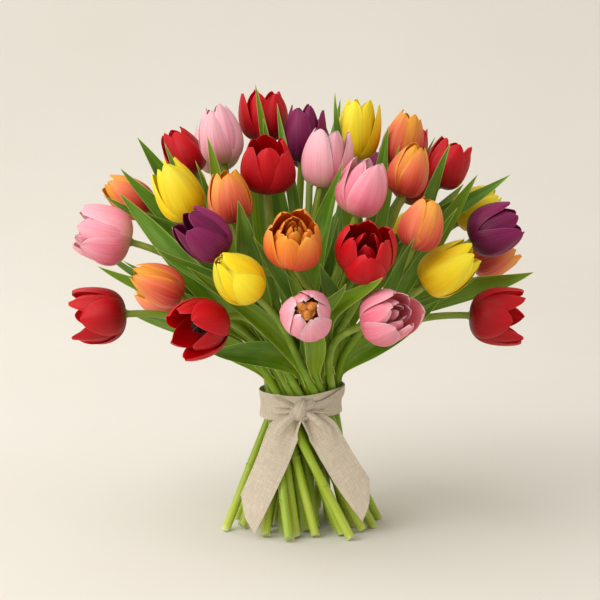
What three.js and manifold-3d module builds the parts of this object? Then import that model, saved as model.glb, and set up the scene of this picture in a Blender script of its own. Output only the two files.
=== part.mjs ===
// A hand-tied bunch of 42 cut tulips that stands on its own cut stems.
// Millimetres, +Z up, origin on the standing surface under the middle of the bunch.
// The stems are laid in a spiral: each crosses the tie at a slant, so they flare into
// a dome of blooms above and into a standing ring of feet below.
// Every bloom is one body, every three neighbouring stems with their leaves are one
// body, and the linen ribbon with its knot and tails is one body.

import * as THREE from 'three';
import Module from 'manifold-3d';

const wasm = await Module();
wasm.setup();
const { Manifold } = wasm;

// ---- driving dimensions, mm ----
const TIE_HEIGHT = 125;          // middle of the ribbon, where the bunch is narrowest
const TIE_RADIUS = 34.6;         // outermost stem centres at the tie
const SPIRAL = 0.0172;           // sideways slope of a stem per mm from the axis
const SPIRAL_TURN = 50;          // degrees a stem has turned round the axis at its bloom
const STEM_FOOT = 4.6;           // radii along a stem
const STEM_TIE = 4.2;
const STEM_NECK = 3.4;
const STEM_SIDES = 6;
const PRESSED = 7.6;             // centre distance of stems that grow into one body
const APART = 9.6;               // centre distance of stems of different bodies
const CLEAR = 0.3;               // gap kept between bodies
const STRAIGHT_ABOVE = 24;       // stems stay straight this far above the tie
const PETAL_THICK = 0.9;
const LEAF_THICK = 1.4;          // on the midrib, thinning to the edges
const LEAF_LENGTH = 205;         // longest leaf, root to tip
const LEAF_LOWEST = 27;          // lowest leaf root above the tie

// ---- front view: where things stand as seen from the front ----
// u runs right and v down in a front view drawn 1:1 at the axis from 2 m away.
const VIEW = { focal: 2000, distance: 2000, pitch: 8.5, aim: 230, axisU: 301, middleV: 300 };

// name, colour, u, v, y (mm, + away), width, length, heading, facing, open, turn
// heading: lean of the bloom in the front view, 0 up, + right. facing: lean to the viewer.
// open: 0 closed to 1 wide. turn: where its first outer petal sits, 0 in front, + right.
const FRONT_TULIPS = [
  ['red_top', 'red', 265, 117, 20, 45, 52, -2, 10, 0.35, 35],
  ['purple_top', 'purple', 303, 135, -10, 40, 57, 3, 10, 0.15, -25],
  ['yellow_top', 'yellow', 357, 131, 15, 43, 62, 9, 5, 0.15, -30],
  ['orange_top', 'orange', 402, 141, 5, 39, 56, 20, 5, 0.15, -40],
  ['pink_top_left', 'pink', 219, 136, -15, 44, 58, -10, 5, 0.1, -25],
  ['red_upper_left', 'red', 184, 153, 25, 40, 50, -25, 5, 0.2, 10],
  ['red_middle_upper', 'red', 268, 166, -68, 51, 55, 0, 27, 0.5, 60],
  ['pink_middle', 'pink', 325, 159, -70, 48, 57, 9, 8, 0.2, -30],
  ['pink_middle_right', 'pink', 364, 189, -100, 47, 55, 16, 10, 0.2, 15],
  ['orange_upper_right', 'orange', 410, 171, -60, 41, 53, 18, 5, 0.05, 25],
  ['red_upper_right', 'red', 447, 165, 5, 42, 50, 25, 5, 0.25, 0],
  ['yellow_left', 'yellow', 179, 192, -60, 44, 60, -28, 5, 0.15, 15],
  ['orange_far_left', 'orange', 129, 196, 5, 42, 52, -55, 5, 0.1, 10],
  ['orange_middle_left', 'orange', 230, 198, -98, 42, 50, -10, 10, 0.15, 10],
  ['pink_far_left', 'pink', 104, 235, -45, 54, 57, -75, 5, 0.4, -40],
  ['purple_left', 'purple', 204, 236, -143, 46, 54, -50, 20, 0.4, -10],
  ['orange_open', 'orange', 294, 242, -150, 53, 53, 0, 50, 0.6, 40],
  ['red_open_right', 'red', 366, 253, -150, 54, 54, 5, 47, 0.6, 0],
  ['orange_right', 'orange', 422, 225, -105, 41, 50, 22, 10, 0.1, -55],
  ['yellow_behind_right', 'yellow', 476, 208, 32, 42, 52, 52, 0, 0.1, 20],
  ['purple_right', 'purple', 495, 231, -25, 48, 55, 65, 5, 0.35, 30],
  ['orange_behind_right', 'orange', 494, 257, 38, 42, 50, 72, 0, 0.1, 0],
  ['yellow_right', 'yellow', 449, 269, -85, 46, 62, 55, 5, 0.15, 10],
  ['orange_low_left', 'orange', 158, 285, -100, 38, 54, -63, 10, 0.1, -10],
  ['yellow_middle_left', 'yellow', 237, 277, -160, 45, 56, -45, 33, 0.2, 5],
  ['red_far_left', 'red', 99, 316, -40, 53, 56, -94, 0, 0.4, 0],
  ['red_open_left', 'red', 200, 326, -140, 53, 54, -110, 42, 0.55, 20],
  ['pink_open_middle', 'pink', 307, 315, -178, 46, 50, 0, 76, 0.4, 30],
  ['pink_open_right', 'pink', 388, 317, -155, 51, 54, 70, 50, 0.6, 30],
  ['red_far_right', 'red', 497, 317, -42, 53, 57, 93, 0, 0.4, 0],
];

// The side away from the viewer, row by row down the dome.
// height z, distance from the axis, bearings from straight back, first colour
const BACK_ROWS = [
  [376, 124, [-46, 5, 59], 0],
  [342, 158, [-52, -13, 25, 49], 2],
  [282, 180, [-35, 3, 41], 1],
  [222, 179, [-56, 4], 4],
];
const COLOURS = ['pink', 'red', 'yellow', 'purple', 'orange'];
const BACK_WIDTH = 45;
const BACK_LENGTH = 55;
const DOME_FOCUS = 165;          // back blooms point away from this height on the axis

// tip u, tip v, tip y, width: leaves seen from the front, by where their tips are
const FRONT_LEAVES = [
  [255, 83, -14, 13], [263, 117, -20, 18], [277, 103, -16, 13], [335, 91, 0, 16],
  [389, 125, -12, 24], [400, 144, -18, 13], [451, 142, -34, 17], [478, 174, -24, 22],
  [511, 174, 0, 22], [468, 191, -5, 12], [458, 207, -50, 15], [534, 272, -20, 30],
  [481, 274, -45, 17], [343, 162, -108, 22], [207, 136, -50, 20], [164, 142, -30, 14],
  [195, 160, -40, 12], [137, 137, -15, 28], [120, 168, -14, 22], [103, 195, -38, 18],
  [119, 193, -42, 26], [97, 266, -70, 20], [122, 260, -72, 14], [155, 247, -88, 24],
  [171, 227, -95, 18], [187, 266, -128, 20], [238, 200, -134, 30], [253, 236, -148, 18],
  [320, 263, -150, 22], [346, 283, -168, 19], [383, 277, -184, 22], [338, 217, -118, 15],
  [415, 237, -132, 15], [207, 350, -112, 28], [300, 215, -92, 22], [285, 262, -118, 22],
  [395, 262, -92, 24], [440, 300, -62, 26], [180, 300, -86, 26],
];

// The leaves away from the viewer: height z, distance from the axis, bearings, width
const BACK_LEAF_ROWS = [
  [428, 70, [-40, 35], 20],
  [392, 138, [-66, -20, 25, 78], 23],
  [338, 196, [-58, -14, 20, 60], 25],
  [278, 208, [-80, -48, -16, 22, 68], 26],
  [216, 196, [-74, -30, 26], 26],
];

const LEAF_GREEN = { color: 0x4f7a26, roughness: 0.5 };
const PETAL_COLOURS = {
  red: 0xc4101c, pink: 0xf0a8b8, yellow: 0xf2d31a, purple: 0x6b2462, orange: 0xee7d2c,
};
const LINEN = { color: 0xbfae9a, roughness: 0.9 };

// ---- small helpers ----
const radians = (degrees) => (degrees * Math.PI) / 180;
const vector = (x, y, z) => new THREE.Vector3(x, y, z);
const clamp = (x, low, high) => Math.min(Math.max(x, low), high);

// A repeatable number between -1 and 1 for a pair of counters.
function vary(a, b) {
  const wave = Math.sin(a * 127.1 + b * 311.7 + 17.3) * 4375.85;
  return 2 * (wave - Math.floor(wave)) - 1;
}

// The point at depth y that the front view shows at (u, v).
function seen(u, v, y) {
  const pitch = radians(VIEW.pitch);
  const rise = (VIEW.middleV - v) / VIEW.focal;
  const eye = vector(0, -VIEW.distance * Math.cos(pitch),
    VIEW.aim + VIEW.distance * Math.sin(pitch));
  const ray = vector((u - VIEW.axisU) / VIEW.focal,
    Math.cos(pitch) + rise * Math.sin(pitch),
    -Math.sin(pitch) + rise * Math.cos(pitch));
  return eye.addScaledVector(ray, (y - eye.y) / ray.y);
}

// A unit vector leaning by heading in the front view and by facing toward the viewer.
function leaning(heading, facing) {
  const pitch = radians(VIEW.pitch);
  const up = vector(0, Math.sin(pitch), Math.cos(pitch));
  const away = vector(0, Math.cos(pitch), -Math.sin(pitch));
  const flat = Math.cos(radians(facing));
  return vector(Math.sin(radians(heading)) * flat, 0, 0)
    .addScaledVector(up, Math.cos(radians(heading)) * flat)
    .addScaledVector(away, -Math.sin(radians(facing)));
}

// A point on the dome by height, distance from the axis and bearing from straight back.
function onDome(height, distance, bearing) {
  return vector(Math.sin(radians(bearing)) * distance,
    Math.cos(radians(bearing)) * distance, height);
}

function bezier(p0, p1, p2, p3, t) {
  const s = 1 - t;
  return p0.clone().multiplyScalar(s * s * s)
    .addScaledVector(p1, 3 * s * s * t)
    .addScaledVector(p2, 3 * s * t * t)
    .addScaledVector(p3, t * t * t);
}

// The part of v square to the unit vector axis, at unit length.
function squareTo(v, axis) {
  return v.clone().addScaledVector(axis, -v.dot(axis)).normalize();
}

// ---- solids ----
function signedVolume(points, faces) {
  const six = faces.reduce((sum, [a, b, c]) =>
    sum + points[a].dot(points[b].clone().cross(points[c])), 0);
  return six / 6;
}

function solid(points, faces) {
  const outward = signedVolume(points, faces) > 0;
  const corners = outward ? faces : faces.map(([a, b, c]) => [a, c, b]);
  const mesh = new wasm.Mesh({
    numProp: 3,
    vertProperties: new Float32Array(points.flatMap((p) => [p.x, p.y, p.z])),
    triVerts: new Uint32Array(corners.flat()),
  });
  return new Manifold(mesh);
}

// Faces of a blade whose rings of [left edge, front, right edge, back] start at first and
// are followed by its tip; the first two faces close its root. Both faces of the blade
// are split along the same diagonals, so a waved blade never crosses itself.
function bladeFaces(first, ringCount) {
  const tip = first + 4 * ringCount;
  const faces = [[first + 1, first, first + 2], [first, first + 3, first + 2]];
  const strip = (edge, middle, turned) => {
    const add = (a, b, c) => faces.push(turned ? [b, a, c] : [a, b, c]);
    for (let k = first; k + 4 < tip; k += 4) {
      add(k + edge, k + middle, k + 4 + middle);
      add(k + edge, k + 4 + middle, k + 4 + edge);
    }
    add(tip - 4 + edge, tip - 4 + middle, tip);
  };
  strip(0, 1, false);
  strip(2, 1, true);
  strip(2, 3, false);
  strip(0, 3, true);
  return faces;
}

function blade(rings, tip) {
  return solid(rings.flat().concat([tip]), bladeFaces(0, rings.length));
}

// A tube through points with a radius at each. Its foot is cut level, its end square.
function tube(points, radii, sides, endAlong) {
  const corners = [];
  let across = vector(1, 0, 0);
  points.forEach((point, i) => {
    const before = points[Math.max(i - 1, 0)];
    const after = points[Math.min(i + 1, points.length - 1)];
    const along = point === after ? endAlong : after.clone().sub(before).normalize();
    across = squareTo(across, along);
    const third = along.clone().cross(across);
    for (let k = 0; k < sides; k += 1) {
      const angle = (2 * Math.PI * k) / sides;
      const spoke = across.clone().multiplyScalar(Math.cos(angle))
        .addScaledVector(third, Math.sin(angle)).multiplyScalar(radii[i]);
      if (i === 0) spoke.addScaledVector(along, -spoke.z / along.z);
      corners.push(point.clone().add(spoke));
    }
  });
  const faces = [];
  const last = corners.length - sides;
  for (let k = 0; k < sides; k += 1) {
    const next = (k + 1) % sides;
    for (let row = 0; row < last; row += sides) {
      faces.push([row + k, row + next, row + sides + next]);
      faces.push([row + k, row + sides + next, row + sides + k]);
    }
    if (k > 0 && k < sides - 1) {
      faces.push([0, k + 1, k]);
      faces.push([last, last + k, last + k + 1]);
    }
  }
  return solid(corners, faces);
}

// ---- blooms ----
function tulipList() {
  const front = FRONT_TULIPS.map((row) => {
    const [name, colour, u, v, y, width, length, heading, facing, open, turn] = row;
    const axis = leaning(heading, facing);
    const face = squareTo(vector(0, -1, 0), axis);
    return { name, colour, centre: seen(u, v, y), width, length, axis, face, open, turn };
  });
  const back = BACK_ROWS.flatMap(([height, distance, bearings, first], row) =>
    bearings.map((bearing, k) => {
      const centre = onDome(height, distance, bearing);
      const axis = centre.clone().sub(vector(0, 0, DOME_FOCUS)).normalize();
      const face = squareTo(vector(centre.x, centre.y, 0), axis);
      const colour = COLOURS[(first + 3 * k) % COLOURS.length];
      const name = `${colour}_back_${row + 1}_${k + 1}`;
      const open = 0.2 + 0.12 * vary(row, k);
      const turn = 60 * vary(k, row + 5);
      return {
        name, colour, centre, width: BACK_WIDTH, length: BACK_LENGTH, axis, face, open, turn,
      };
    }));
  return front.concat(back).map((tulip, index) => ({
    ...tulip,
    index,
    base: tulip.centre.clone().addScaledVector(tulip.axis, -tulip.length / 2),
  }));
}

// Radius and height of a petal's middle line, t from 0 at the base to 1 at the tip.
function petalProfile(whorl, radius, length, open, t) {
  const line = bezier(
    vector(whorl.root, whorl.lift, 0),
    vector(1.32 * radius, 0.02 * length + whorl.lift, 0),
    vector((1.2 + 0.22 * open) * radius, 0.62 * length, 0),
    vector((0.26 + open) * radius, (1 - 0.15 * open * open) * length, 0),
    t,
  );
  return { r: line.x, h: line.y };
}

// Half the angle that a petal takes up round the bloom, at t.
function petalReach(widest, t) {
  const shoulder = 0.5;
  if (t < shoulder) return widest;
  return widest * Math.sqrt(1 - ((t - shoulder) / (1 - shoulder)) ** 2.3);
}

// Whorls of three petals: share of the bloom's radius and length, half angle, turn, lean
// (+ outward), and the radius and height of their roots on the receptacle.
const WHORLS = [
  { radius: 1, length: 0.98, reach: 57, turn: 0, lean: 0.02, root: 4.1, lift: 1.6 },
  { radius: 0.82, length: 1, reach: 54, turn: 60, lean: -0.01, root: 4.1, lift: 3.8 },
  { radius: 0.52, length: 0.8, reach: 50, turn: 25, lean: -0.02, root: 1.5, lift: 4.6 },
];
const PETAL_ROWS = [0, 0.2, 0.47, 0.78];
const CLAW = 22;                 // degrees each side that a petal's root takes up
const RECEPTACLE = { low: { r: 4, h: 0 }, high: { r: 5.2, h: 5.6 } };
const DOUBLE_FROM = 0.6;         // blooms this open show a third whorl

// A point by its radius, height and bearing (radians) in a bloom's own frame.
function inBloom({ axis, face }, radius, height, bearing) {
  const right = axis.clone().cross(face);
  return axis.clone().multiplyScalar(height)
    .addScaledVector(face, Math.cos(bearing) * radius)
    .addScaledVector(right, Math.sin(bearing) * radius);
}

// Rows of [left edge, front, right edge, back] up a petal, and its tip. The first row
// is the narrow claw by which it grows from the receptacle.
function petal(tulip, whorl, k) {
  const number = tulip.index * 9 + whorl.turn + k;
  const middle = radians(tulip.turn + whorl.turn + 120 * k);
  const lean = whorl.lean * (1 + vary(number, 1));
  const length = tulip.length * whorl.length * (1 + 0.03 * vary(number, 2));
  const radius = (tulip.width / 2) * whorl.radius;
  const at = (t, side, outward) => {
    const { r, h } = petalProfile(whorl, radius, length, tulip.open, t);
    const reach = t === 0 ? CLAW : petalReach(whorl.reach, t);
    const spread = r + outward * (t === 0 ? 0 : 1) + lean * h;
    const up = t === 0 ? -outward : 0;
    return inBloom(tulip, spread, h + up, middle + side * radians(reach));
  };
  const rings = PETAL_ROWS.map((t) => [
    at(t, -1, 0), at(t, 0, PETAL_THICK / 2), at(t, 1, 0), at(t, 0, -PETAL_THICK / 2),
  ]);
  return { rings, tip: at(1, 0, 0) };
}

// A bloom is one closed skin: a six-sided receptacle, each side of which runs out into
// a petal of the outer or the inner whorl. Double blooms have a third whorl fused in.
function bloom(tulip) {
  const points = [];
  const faces = [];
  const put = (point) => points.push(point) - 1;
  const sides = [0, 1, 2].flatMap((k) => [[WHORLS[0], k], [WHORLS[1], k]]);
  const corner = ({ r, h }, side) =>
    put(inBloom(tulip, r, h, radians(tulip.turn + 60 * side - 30)));
  const low = sides.map((_, side) => corner(RECEPTACLE.low, side));
  const high = sides.map((_, side) => corner(RECEPTACLE.high, side));
  sides.forEach(([whorl, k], side) => {
    const { rings, tip } = petal(tulip, whorl, k);
    const first = points.length;
    rings.flat().concat([tip]).forEach(put);
    faces.push(...bladeFaces(first, rings.length).slice(2));
    const [left, front, right, back] = [0, 1, 2, 3].map((i) => first + i);
    const next = (side + 1) % sides.length;
    const rim = [[low[side], low[next], front], [low[next], right, front],
      [low[next], high[next], right], [high[next], back, right],
      [high[next], high[side], back], [high[side], left, back],
      [high[side], low[side], left], [low[side], front, left]];
    faces.push(...rim);
  });
  for (let k = 1; k < 5; k += 1) {
    faces.push([low[0], low[k + 1], low[k]], [high[0], high[k], high[k + 1]]);
  }
  const skin = solid(points, faces);
  const inner = tulip.open < DOUBLE_FROM ? [] : [0, 1, 2].map((k) => {
    const { rings, tip } = petal(tulip, WHORLS[2], k);
    return blade(rings, tip);
  });
  return Manifold.union([skin, ...inner]).translate(tulip.base.toArray());
}

// ---- where the stems cross the tie ----
// First by the direction of each bloom as seen from the tie, spread evenly.
function firstSlots(tulips) {
  const tie = vector(0, 0, TIE_HEIGHT);
  const lean = tulips.map((tulip) => {
    const out = tulip.base.clone().sub(tie);
    return Math.acos(out.z / out.length());
  });
  const order = tulips.map((_, i) => i).sort((a, b) => lean[a] - lean[b]);
  const slots = [];
  order.forEach((i, rank) => {
    const { x, y } = tulips[i].base;
    const radius = TIE_RADIUS * Math.sqrt((rank + 0.5) / tulips.length);
    const angle = Math.atan2(y, x) + radians(SPIRAL_TURN);
    slots[i] = [radius * Math.cos(angle), radius * Math.sin(angle)];
  });
  return slots;
}

// Bodies of three neighbouring stems: rows from front to back, cut along x.
const STEM_ROWS = [[3, 3, 3], [3, 3, 3, 3], [3, 3, 3, 3], [3, 3, 3]];

function stemBodies(slots) {
  const byDepth = slots.map((_, i) => i).sort((a, b) => slots[a][1] - slots[b][1]);
  const bodies = [];
  STEM_ROWS.forEach((sizes) => {
    const count = sizes.reduce((sum, size) => sum + size, 0);
    const row = byDepth.splice(0, count).sort((a, b) => slots[a][0] - slots[b][0]);
    sizes.forEach((size) => bodies.push(row.splice(0, size)));
  });
  return bodies;
}

// How far apart two slanted stems run, from where they cross the tie.
function stemDistance(a, b) {
  const across = [b[0] - a[0], b[1] - a[1]];
  const slope = [(SPIRAL * (a[1] + b[1])) / 2, (-SPIRAL * (a[0] + b[0])) / 2];
  const along = (across[0] * slope[0] + across[1] * slope[1])
    / Math.hypot(slope[0], slope[1], 1);
  return Math.sqrt(Math.max(Math.hypot(...across) ** 2 - along * along, 1e-6));
}

// Pressing by the ribbon: stems of one body touch, all others stay just apart.
function settleSlots(slots, bodies) {
  const bodyOf = [];
  bodies.forEach((members, body) => members.forEach((i) => { bodyOf[i] = body; }));
  const placeInBody = slots.map((_, i) => bodies[bodyOf[i]].indexOf(i));
  const settled = slots.map((slot) => slot.slice());
  for (let round = 0; round < 900; round += 1) {
    for (let i = 0; i < settled.length; i += 1) {
      for (let j = i + 1; j < settled.length; j += 1) {
        const same = bodyOf[i] === bodyOf[j];
        const next = same && Math.abs(placeInBody[i] - placeInBody[j]) === 1;
        const wanted = same ? PRESSED : APART;
        const distance = stemDistance(settled[i], settled[j]);
        if (distance < wanted || next) {
          const share = (0.25 * (wanted - distance)) / distance;
          for (let axis = 0; axis < 2; axis += 1) {
            const push = share * (settled[j][axis] - settled[i][axis]);
            settled[i][axis] -= push;
            settled[j][axis] += push;
          }
        }
      }
      const far = Math.hypot(...settled[i]);
      if (far > TIE_RADIUS) {
        settled[i] = settled[i].map((value) => (value * TIE_RADIUS) / far);
      }
    }
  }
  return settled;
}

// ---- stems ----
// A stem's line below and through the tie, at height z.
function straightLine([x, y], z) {
  const rise = SPIRAL * (z - TIE_HEIGHT);
  return vector(x + y * rise, y - x * rise, z);
}

const STEM_CURVE_STEPS = 4;
const FREE_FROM = 2;             // steps from the tie to where a stem runs free

// Centre line of a stem from its foot to its bloom, bowed sideways by bow.
function stemLine(tulip, slot, bow) {
  const foot = straightLine(slot, 0);
  const start = straightLine(slot, TIE_HEIGHT + STRAIGHT_ABOVE);
  const leave = start.clone().sub(foot).normalize();
  const end = tulip.base.clone().addScaledVector(tulip.axis, -CLEAR);
  const span = start.distanceTo(end);
  const p1 = start.clone().addScaledVector(leave, 0.4 * span);
  const p2 = end.clone().addScaledVector(tulip.axis, -0.34 * span);
  const curve = (t) => bezier(start, p1, p2, end, t)
    .addScaledVector(bow, 16 * t * t * (1 - t) * (1 - t));
  return { foot, start, curve, span, end: tulip.axis };
}

// The solid of a stem, or only of its free part above where it leaves its neighbours.
function stemSolid(line, free) {
  const points = free ? [] : [line.foot, line.start];
  const radii = free ? [] : [STEM_FOOT, STEM_TIE];
  for (let k = free ? FREE_FROM : 1; k <= STEM_CURVE_STEPS; k += 1) {
    const t = k / STEM_CURVE_STEPS;
    points.push(line.curve(t));
    radii.push(STEM_TIE + (STEM_NECK - STEM_TIE) * t);
  }
  const round = Math.sqrt((2 * Math.PI / STEM_SIDES) / Math.sin(2 * Math.PI / STEM_SIDES));
  return tube(points, radii.map((radius) => radius * round), STEM_SIDES, line.end);
}

// Sideways bows to try, from none to the widest, round the direction of travel.
function bows(along, sizes) {
  const across = squareTo(vector(0, 0, 1).cross(along), along);
  const third = along.clone().cross(across);
  const list = [vector(0, 0, 0)];
  sizes.forEach((size) => {
    for (let k = 0; k < 8; k += 1) {
      const angle = (Math.PI * k) / 4;
      list.push(across.clone().multiplyScalar(size * Math.cos(angle))
        .addScaledVector(third, size * Math.sin(angle)));
    }
  });
  return list;
}

// Smallest gap between a solid and the obstacles near it, at most reach.
function gapTo(candidate, obstacles, reach) {
  const box = candidate.boundingBox();
  let gap = reach;
  for (const { body, low, high } of obstacles) {
    const near = [0, 1, 2].every((k) =>
      low[k] - reach < box.max[k] && high[k] + reach > box.min[k]);
    if (near) gap = Math.min(gap, candidate.minGap(body, reach));
    if (gap <= 0) return 0;
  }
  return gap;
}

function obstacle(body) {
  const { min, max } = body.boundingBox();
  return { body, low: min, high: max };
}

// The first way to grow that clears all else, or the one with the widest gap. The whole
// solid clears the other bodies, and its free part also clears its own body.
function clearest(ways, make, othersOf, siblingsOf) {
  let best = null;
  for (const way of ways) {
    const made = make(way, false);
    let gap = gapTo(made, othersOf(way), CLEAR * 2);
    if (gap >= CLEAR) gap = Math.min(gap, gapTo(make(way, true), siblingsOf(way), CLEAR * 2));
    if (!best || gap > best.gap) best = { way, made, gap };
    if (gap >= CLEAR) break;
  }
  return best;
}

// ---- leaves ----
function leafList() {
  const front = FRONT_LEAVES.map(([u, v, y, width]) => ({
    tip: seen(u, v, y), width, face: vector(0, -1, 0),
  }));
  const back = BACK_LEAF_ROWS.flatMap(([height, distance, bearings, width]) =>
    bearings.map((bearing) => {
      const tip = onDome(height, distance, bearing);
      return { tip, width, face: vector(tip.x, tip.y, 0).normalize() };
    }));
  return front.concat(back).map((leaf, index) => ({ ...leaf, index }));
}

// Half width along a leaf: it clasps the stem, is widest below half way and ends in a point.
function leafHalfWidth(width, t) {
  const widest = 0.42;
  const half = width / 2;
  if (t < widest) return half * (0.22 + 0.78 * Math.sin((Math.PI / 2) * (t / widest)));
  return half * (1 - ((t - widest) / (1 - widest)) ** 2);
}

// Places on a stem, as distance past the tie and its point and direction there.
function stemStation(line, past) {
  if (past <= STRAIGHT_ABOVE) {
    const along = line.start.clone().sub(line.foot).normalize();
    const rise = (STRAIGHT_ABOVE - past) / along.z;
    return { point: line.start.clone().addScaledVector(along, -rise), along };
  }
  const t = clamp((past - STRAIGHT_ABOVE) / line.span, 0, 0.9);
  const step = 0.02;
  const point = line.curve(t);
  return { point, along: line.curve(t + step).sub(point).normalize() };
}

const LEAF_ROWS = [0, 0.26, 0.56, 0.82];
const LEAF_FOLD = 24;            // degrees that each half is folded up
const LEAF_ROLLS = [0, 22, -22, 44, -44];
const LEAF_BOWS = [9, 18, 28];
const STEM_BOWS = [6, 12, 18, 26, 34];
const STEMS_TRIED = 6;

// The solid of a leaf, or only of its free part beyond the root.
function leafSolid(leaf, way, free) {
  const { point, along } = way.station;
  const span = point.distanceTo(leaf.tip);
  const toTip = leaf.tip.clone().sub(point).normalize();
  const p1 = point.clone().addScaledVector(along, 0.36 * span);
  const p2 = leaf.tip.clone().addScaledVector(toTip, -0.3 * span);
  const curve = (t) => bezier(point, p1, p2, leaf.tip, t)
    .addScaledVector(way.bow, 16 * t * t * (1 - t) * (1 - t));
  const fold = radians(LEAF_FOLD);
  const rings = (free ? LEAF_ROWS.slice(1) : LEAF_ROWS).map((t) => {
    const centre = curve(t);
    const tangent = curve(t + 0.02).sub(centre).normalize();
    const level = squareTo(leaf.face, tangent);
    const face = level.applyAxisAngle(tangent, radians(way.roll) * t);
    const right = tangent.clone().cross(face);
    const half = leafHalfWidth(leaf.width, t);
    const edge = (side) => centre.clone()
      .addScaledVector(right, side * half * Math.cos(fold))
      .addScaledVector(face, half * Math.sin(fold));
    const thick = LEAF_THICK * (1 - 0.4 * t) / 2;
    return [edge(-1), centre.clone().addScaledVector(face, thick),
      edge(1), centre.clone().addScaledVector(face, -thick)];
  });
  return blade(rings, leaf.tip);
}

// Every way a leaf may grow: from which stem, rolled how far and bowed which way.
function leafWays(leaf, lines, leavesOn) {
  const tie = vector(0, 0, TIE_HEIGHT);
  const past = Math.max(LEAF_LOWEST, leaf.tip.distanceTo(tie) - LEAF_LENGTH);
  const stems = lines.map((line, stem) => {
    const station = stemStation(line, past);
    const toTip = leaf.tip.clone().sub(station.point).normalize();
    return { stem, station, cost: station.along.angleTo(toTip) + 0.12 * leavesOn[stem] };
  });
  const likely = stems.sort((a, b) => a.cost - b.cost).slice(0, STEMS_TRIED);
  const ways = likely.flatMap(({ stem, station }) => {
    const toTip = leaf.tip.clone().sub(station.point).normalize();
    return bows(toTip, LEAF_BOWS).flatMap((bow) =>
      LEAF_ROLLS.map((roll) => ({ stem, station, bow, roll })));
  });
  return ways.sort((a, b) => a.bow.length() - b.bow.length());
}

// ---- ribbon ----
const RIBBON_HEIGHT = 37;
const RIBBON_THICK = 1.3;
const BAND_INSIDE = 40;          // at the tie, widening to both edges with the stems
const BAND_SIDES = 20;
const TAIL_WIDTH = 34;
const TAIL_FACING = 0.45;        // share of its bearing that a tail is turned by
const TAIL_SLANT = 14;           // how far one corner of the cut end reaches past the middle
// middle of each tail: bearing from the front (+ right), height, distance off the stems
const LEFT_TAIL = [
  [-4, 121, 8], [-18, 110, 5], [-27, 102, 4], [-35, 80, 4], [-41, 58, 5], [-45, 34, 6],
];
const RIGHT_TAIL = [
  [4, 121, 8], [20, 110, 5], [31, 100, 5], [40, 84, 7], [48, 63, 10], [54, 42, 13],
];

// The stems' outer reach at height z: a cooling-tower shape.
function bundleRadius(z) {
  return Math.hypot(1, SPIRAL * (z - TIE_HEIGHT)) * TIE_RADIUS + 5;
}

function band() {
  const half = RIBBON_HEIGHT / 2;
  const grow = (z) => BAND_INSIDE + bundleRadius(z) - bundleRadius(TIE_HEIGHT);
  const levels = [TIE_HEIGHT - half, TIE_HEIGHT + half];
  const rim = levels.map((z) => [grow(z) + RIBBON_THICK, z])
    .concat(levels.reverse().map((z) => [grow(z), z]));
  const points = [];
  for (let k = 0; k < BAND_SIDES; k += 1) {
    const angle = (2 * Math.PI * k) / BAND_SIDES;
    rim.forEach(([r, z]) => points.push(vector(r * Math.cos(angle), r * Math.sin(angle), z)));
  }
  const faces = [];
  const ring = rim.length;
  for (let k = 0; k < BAND_SIDES; k += 1) {
    const here = k * ring;
    const there = ((k + 1) % BAND_SIDES) * ring;
    for (let m = 0; m < ring; m += 1) {
      const up = (m + 1) % ring;
      faces.push([here + m, there + m, there + up], [here + m, there + up, here + up]);
    }
  }
  return solid(points, faces);
}

// The knot: a rounded pad sunk into the front of the band.
function knot() {
  const columns = 8;
  const rows = 5;
  const ball = new THREE.SphereGeometry(1, columns, rows);
  const position = ball.getAttribute('position');
  const centre = vector(0, -BAND_INSIDE - 6.5, TIE_HEIGHT - 4);
  const points = [vector(0, 0, 1)];
  for (let row = 1; row < rows; row += 1) {
    for (let k = 0; k < columns; k += 1) {
      const i = row * (columns + 1) + k;
      points.push(vector(position.getX(i), position.getZ(i), position.getY(i)));
    }
  }
  points.push(vector(0, 0, -1));
  const placed = points.map((p) => vector(p.x * 12, p.y * 8, p.z * 12).add(centre));
  const faces = [];
  const end = points.length - 1;
  for (let k = 0; k < columns; k += 1) {
    const next = (k + 1) % columns;
    faces.push([0, 1 + k, 1 + next]);
    for (let row = 0; row + 2 < rows; row += 1) {
      const here = 1 + row * columns;
      faces.push([here + k, here + columns + k, here + columns + next]);
      faces.push([here + k, here + columns + next, here + next]);
    }
    faces.push([end, end - columns + next, end - columns + k]);
  }
  return solid(placed, faces);
}

function tail(route) {
  const centres = route.map(([bearing, z, lift]) => {
    const radius = bundleRadius(z) + lift;
    const angle = radians(bearing);
    return vector(Math.sin(angle) * radius, -Math.cos(angle) * radius, z);
  });
  const points = [];
  centres.forEach((centre, i) => {
    const before = centres[Math.max(i - 1, 0)];
    const after = centres[Math.min(i + 1, centres.length - 1)];
    const along = after.clone().sub(before).normalize();
    const facing = radians(route[i][0]) * TAIL_FACING;
    const outward = squareTo(vector(Math.sin(facing), -Math.cos(facing), 0), along);
    const right = along.clone().cross(outward);
    const half = Math.min(0.2 + 0.16 * i, 0.5) * TAIL_WIDTH;
    const thick = RIBBON_THICK / 2;
    const slant = i === centres.length - 1 ? TAIL_SLANT * Math.sign(route[i][0]) : 0;
    [[-1, -1], [1, -1], [1, 1], [-1, 1]].forEach(([side, face]) => {
      points.push(centre.clone().addScaledVector(right, side * half)
        .addScaledVector(outward, face * thick).addScaledVector(along, side * slant));
    });
  });
  const last = points.length - 4;
  const faces = [[0, 2, 1], [0, 3, 2], [last, last + 1, last + 2], [last, last + 2, last + 3]];
  for (let row = 0; row < last; row += 4) {
    for (let k = 0; k < 4; k += 1) {
      const next = (k + 1) % 4;
      faces.push([row + k, row + next, row + 4 + next], [row + k, row + 4 + next, row + 4 + k]);
    }
  }
  return solid(points, faces);
}

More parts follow.
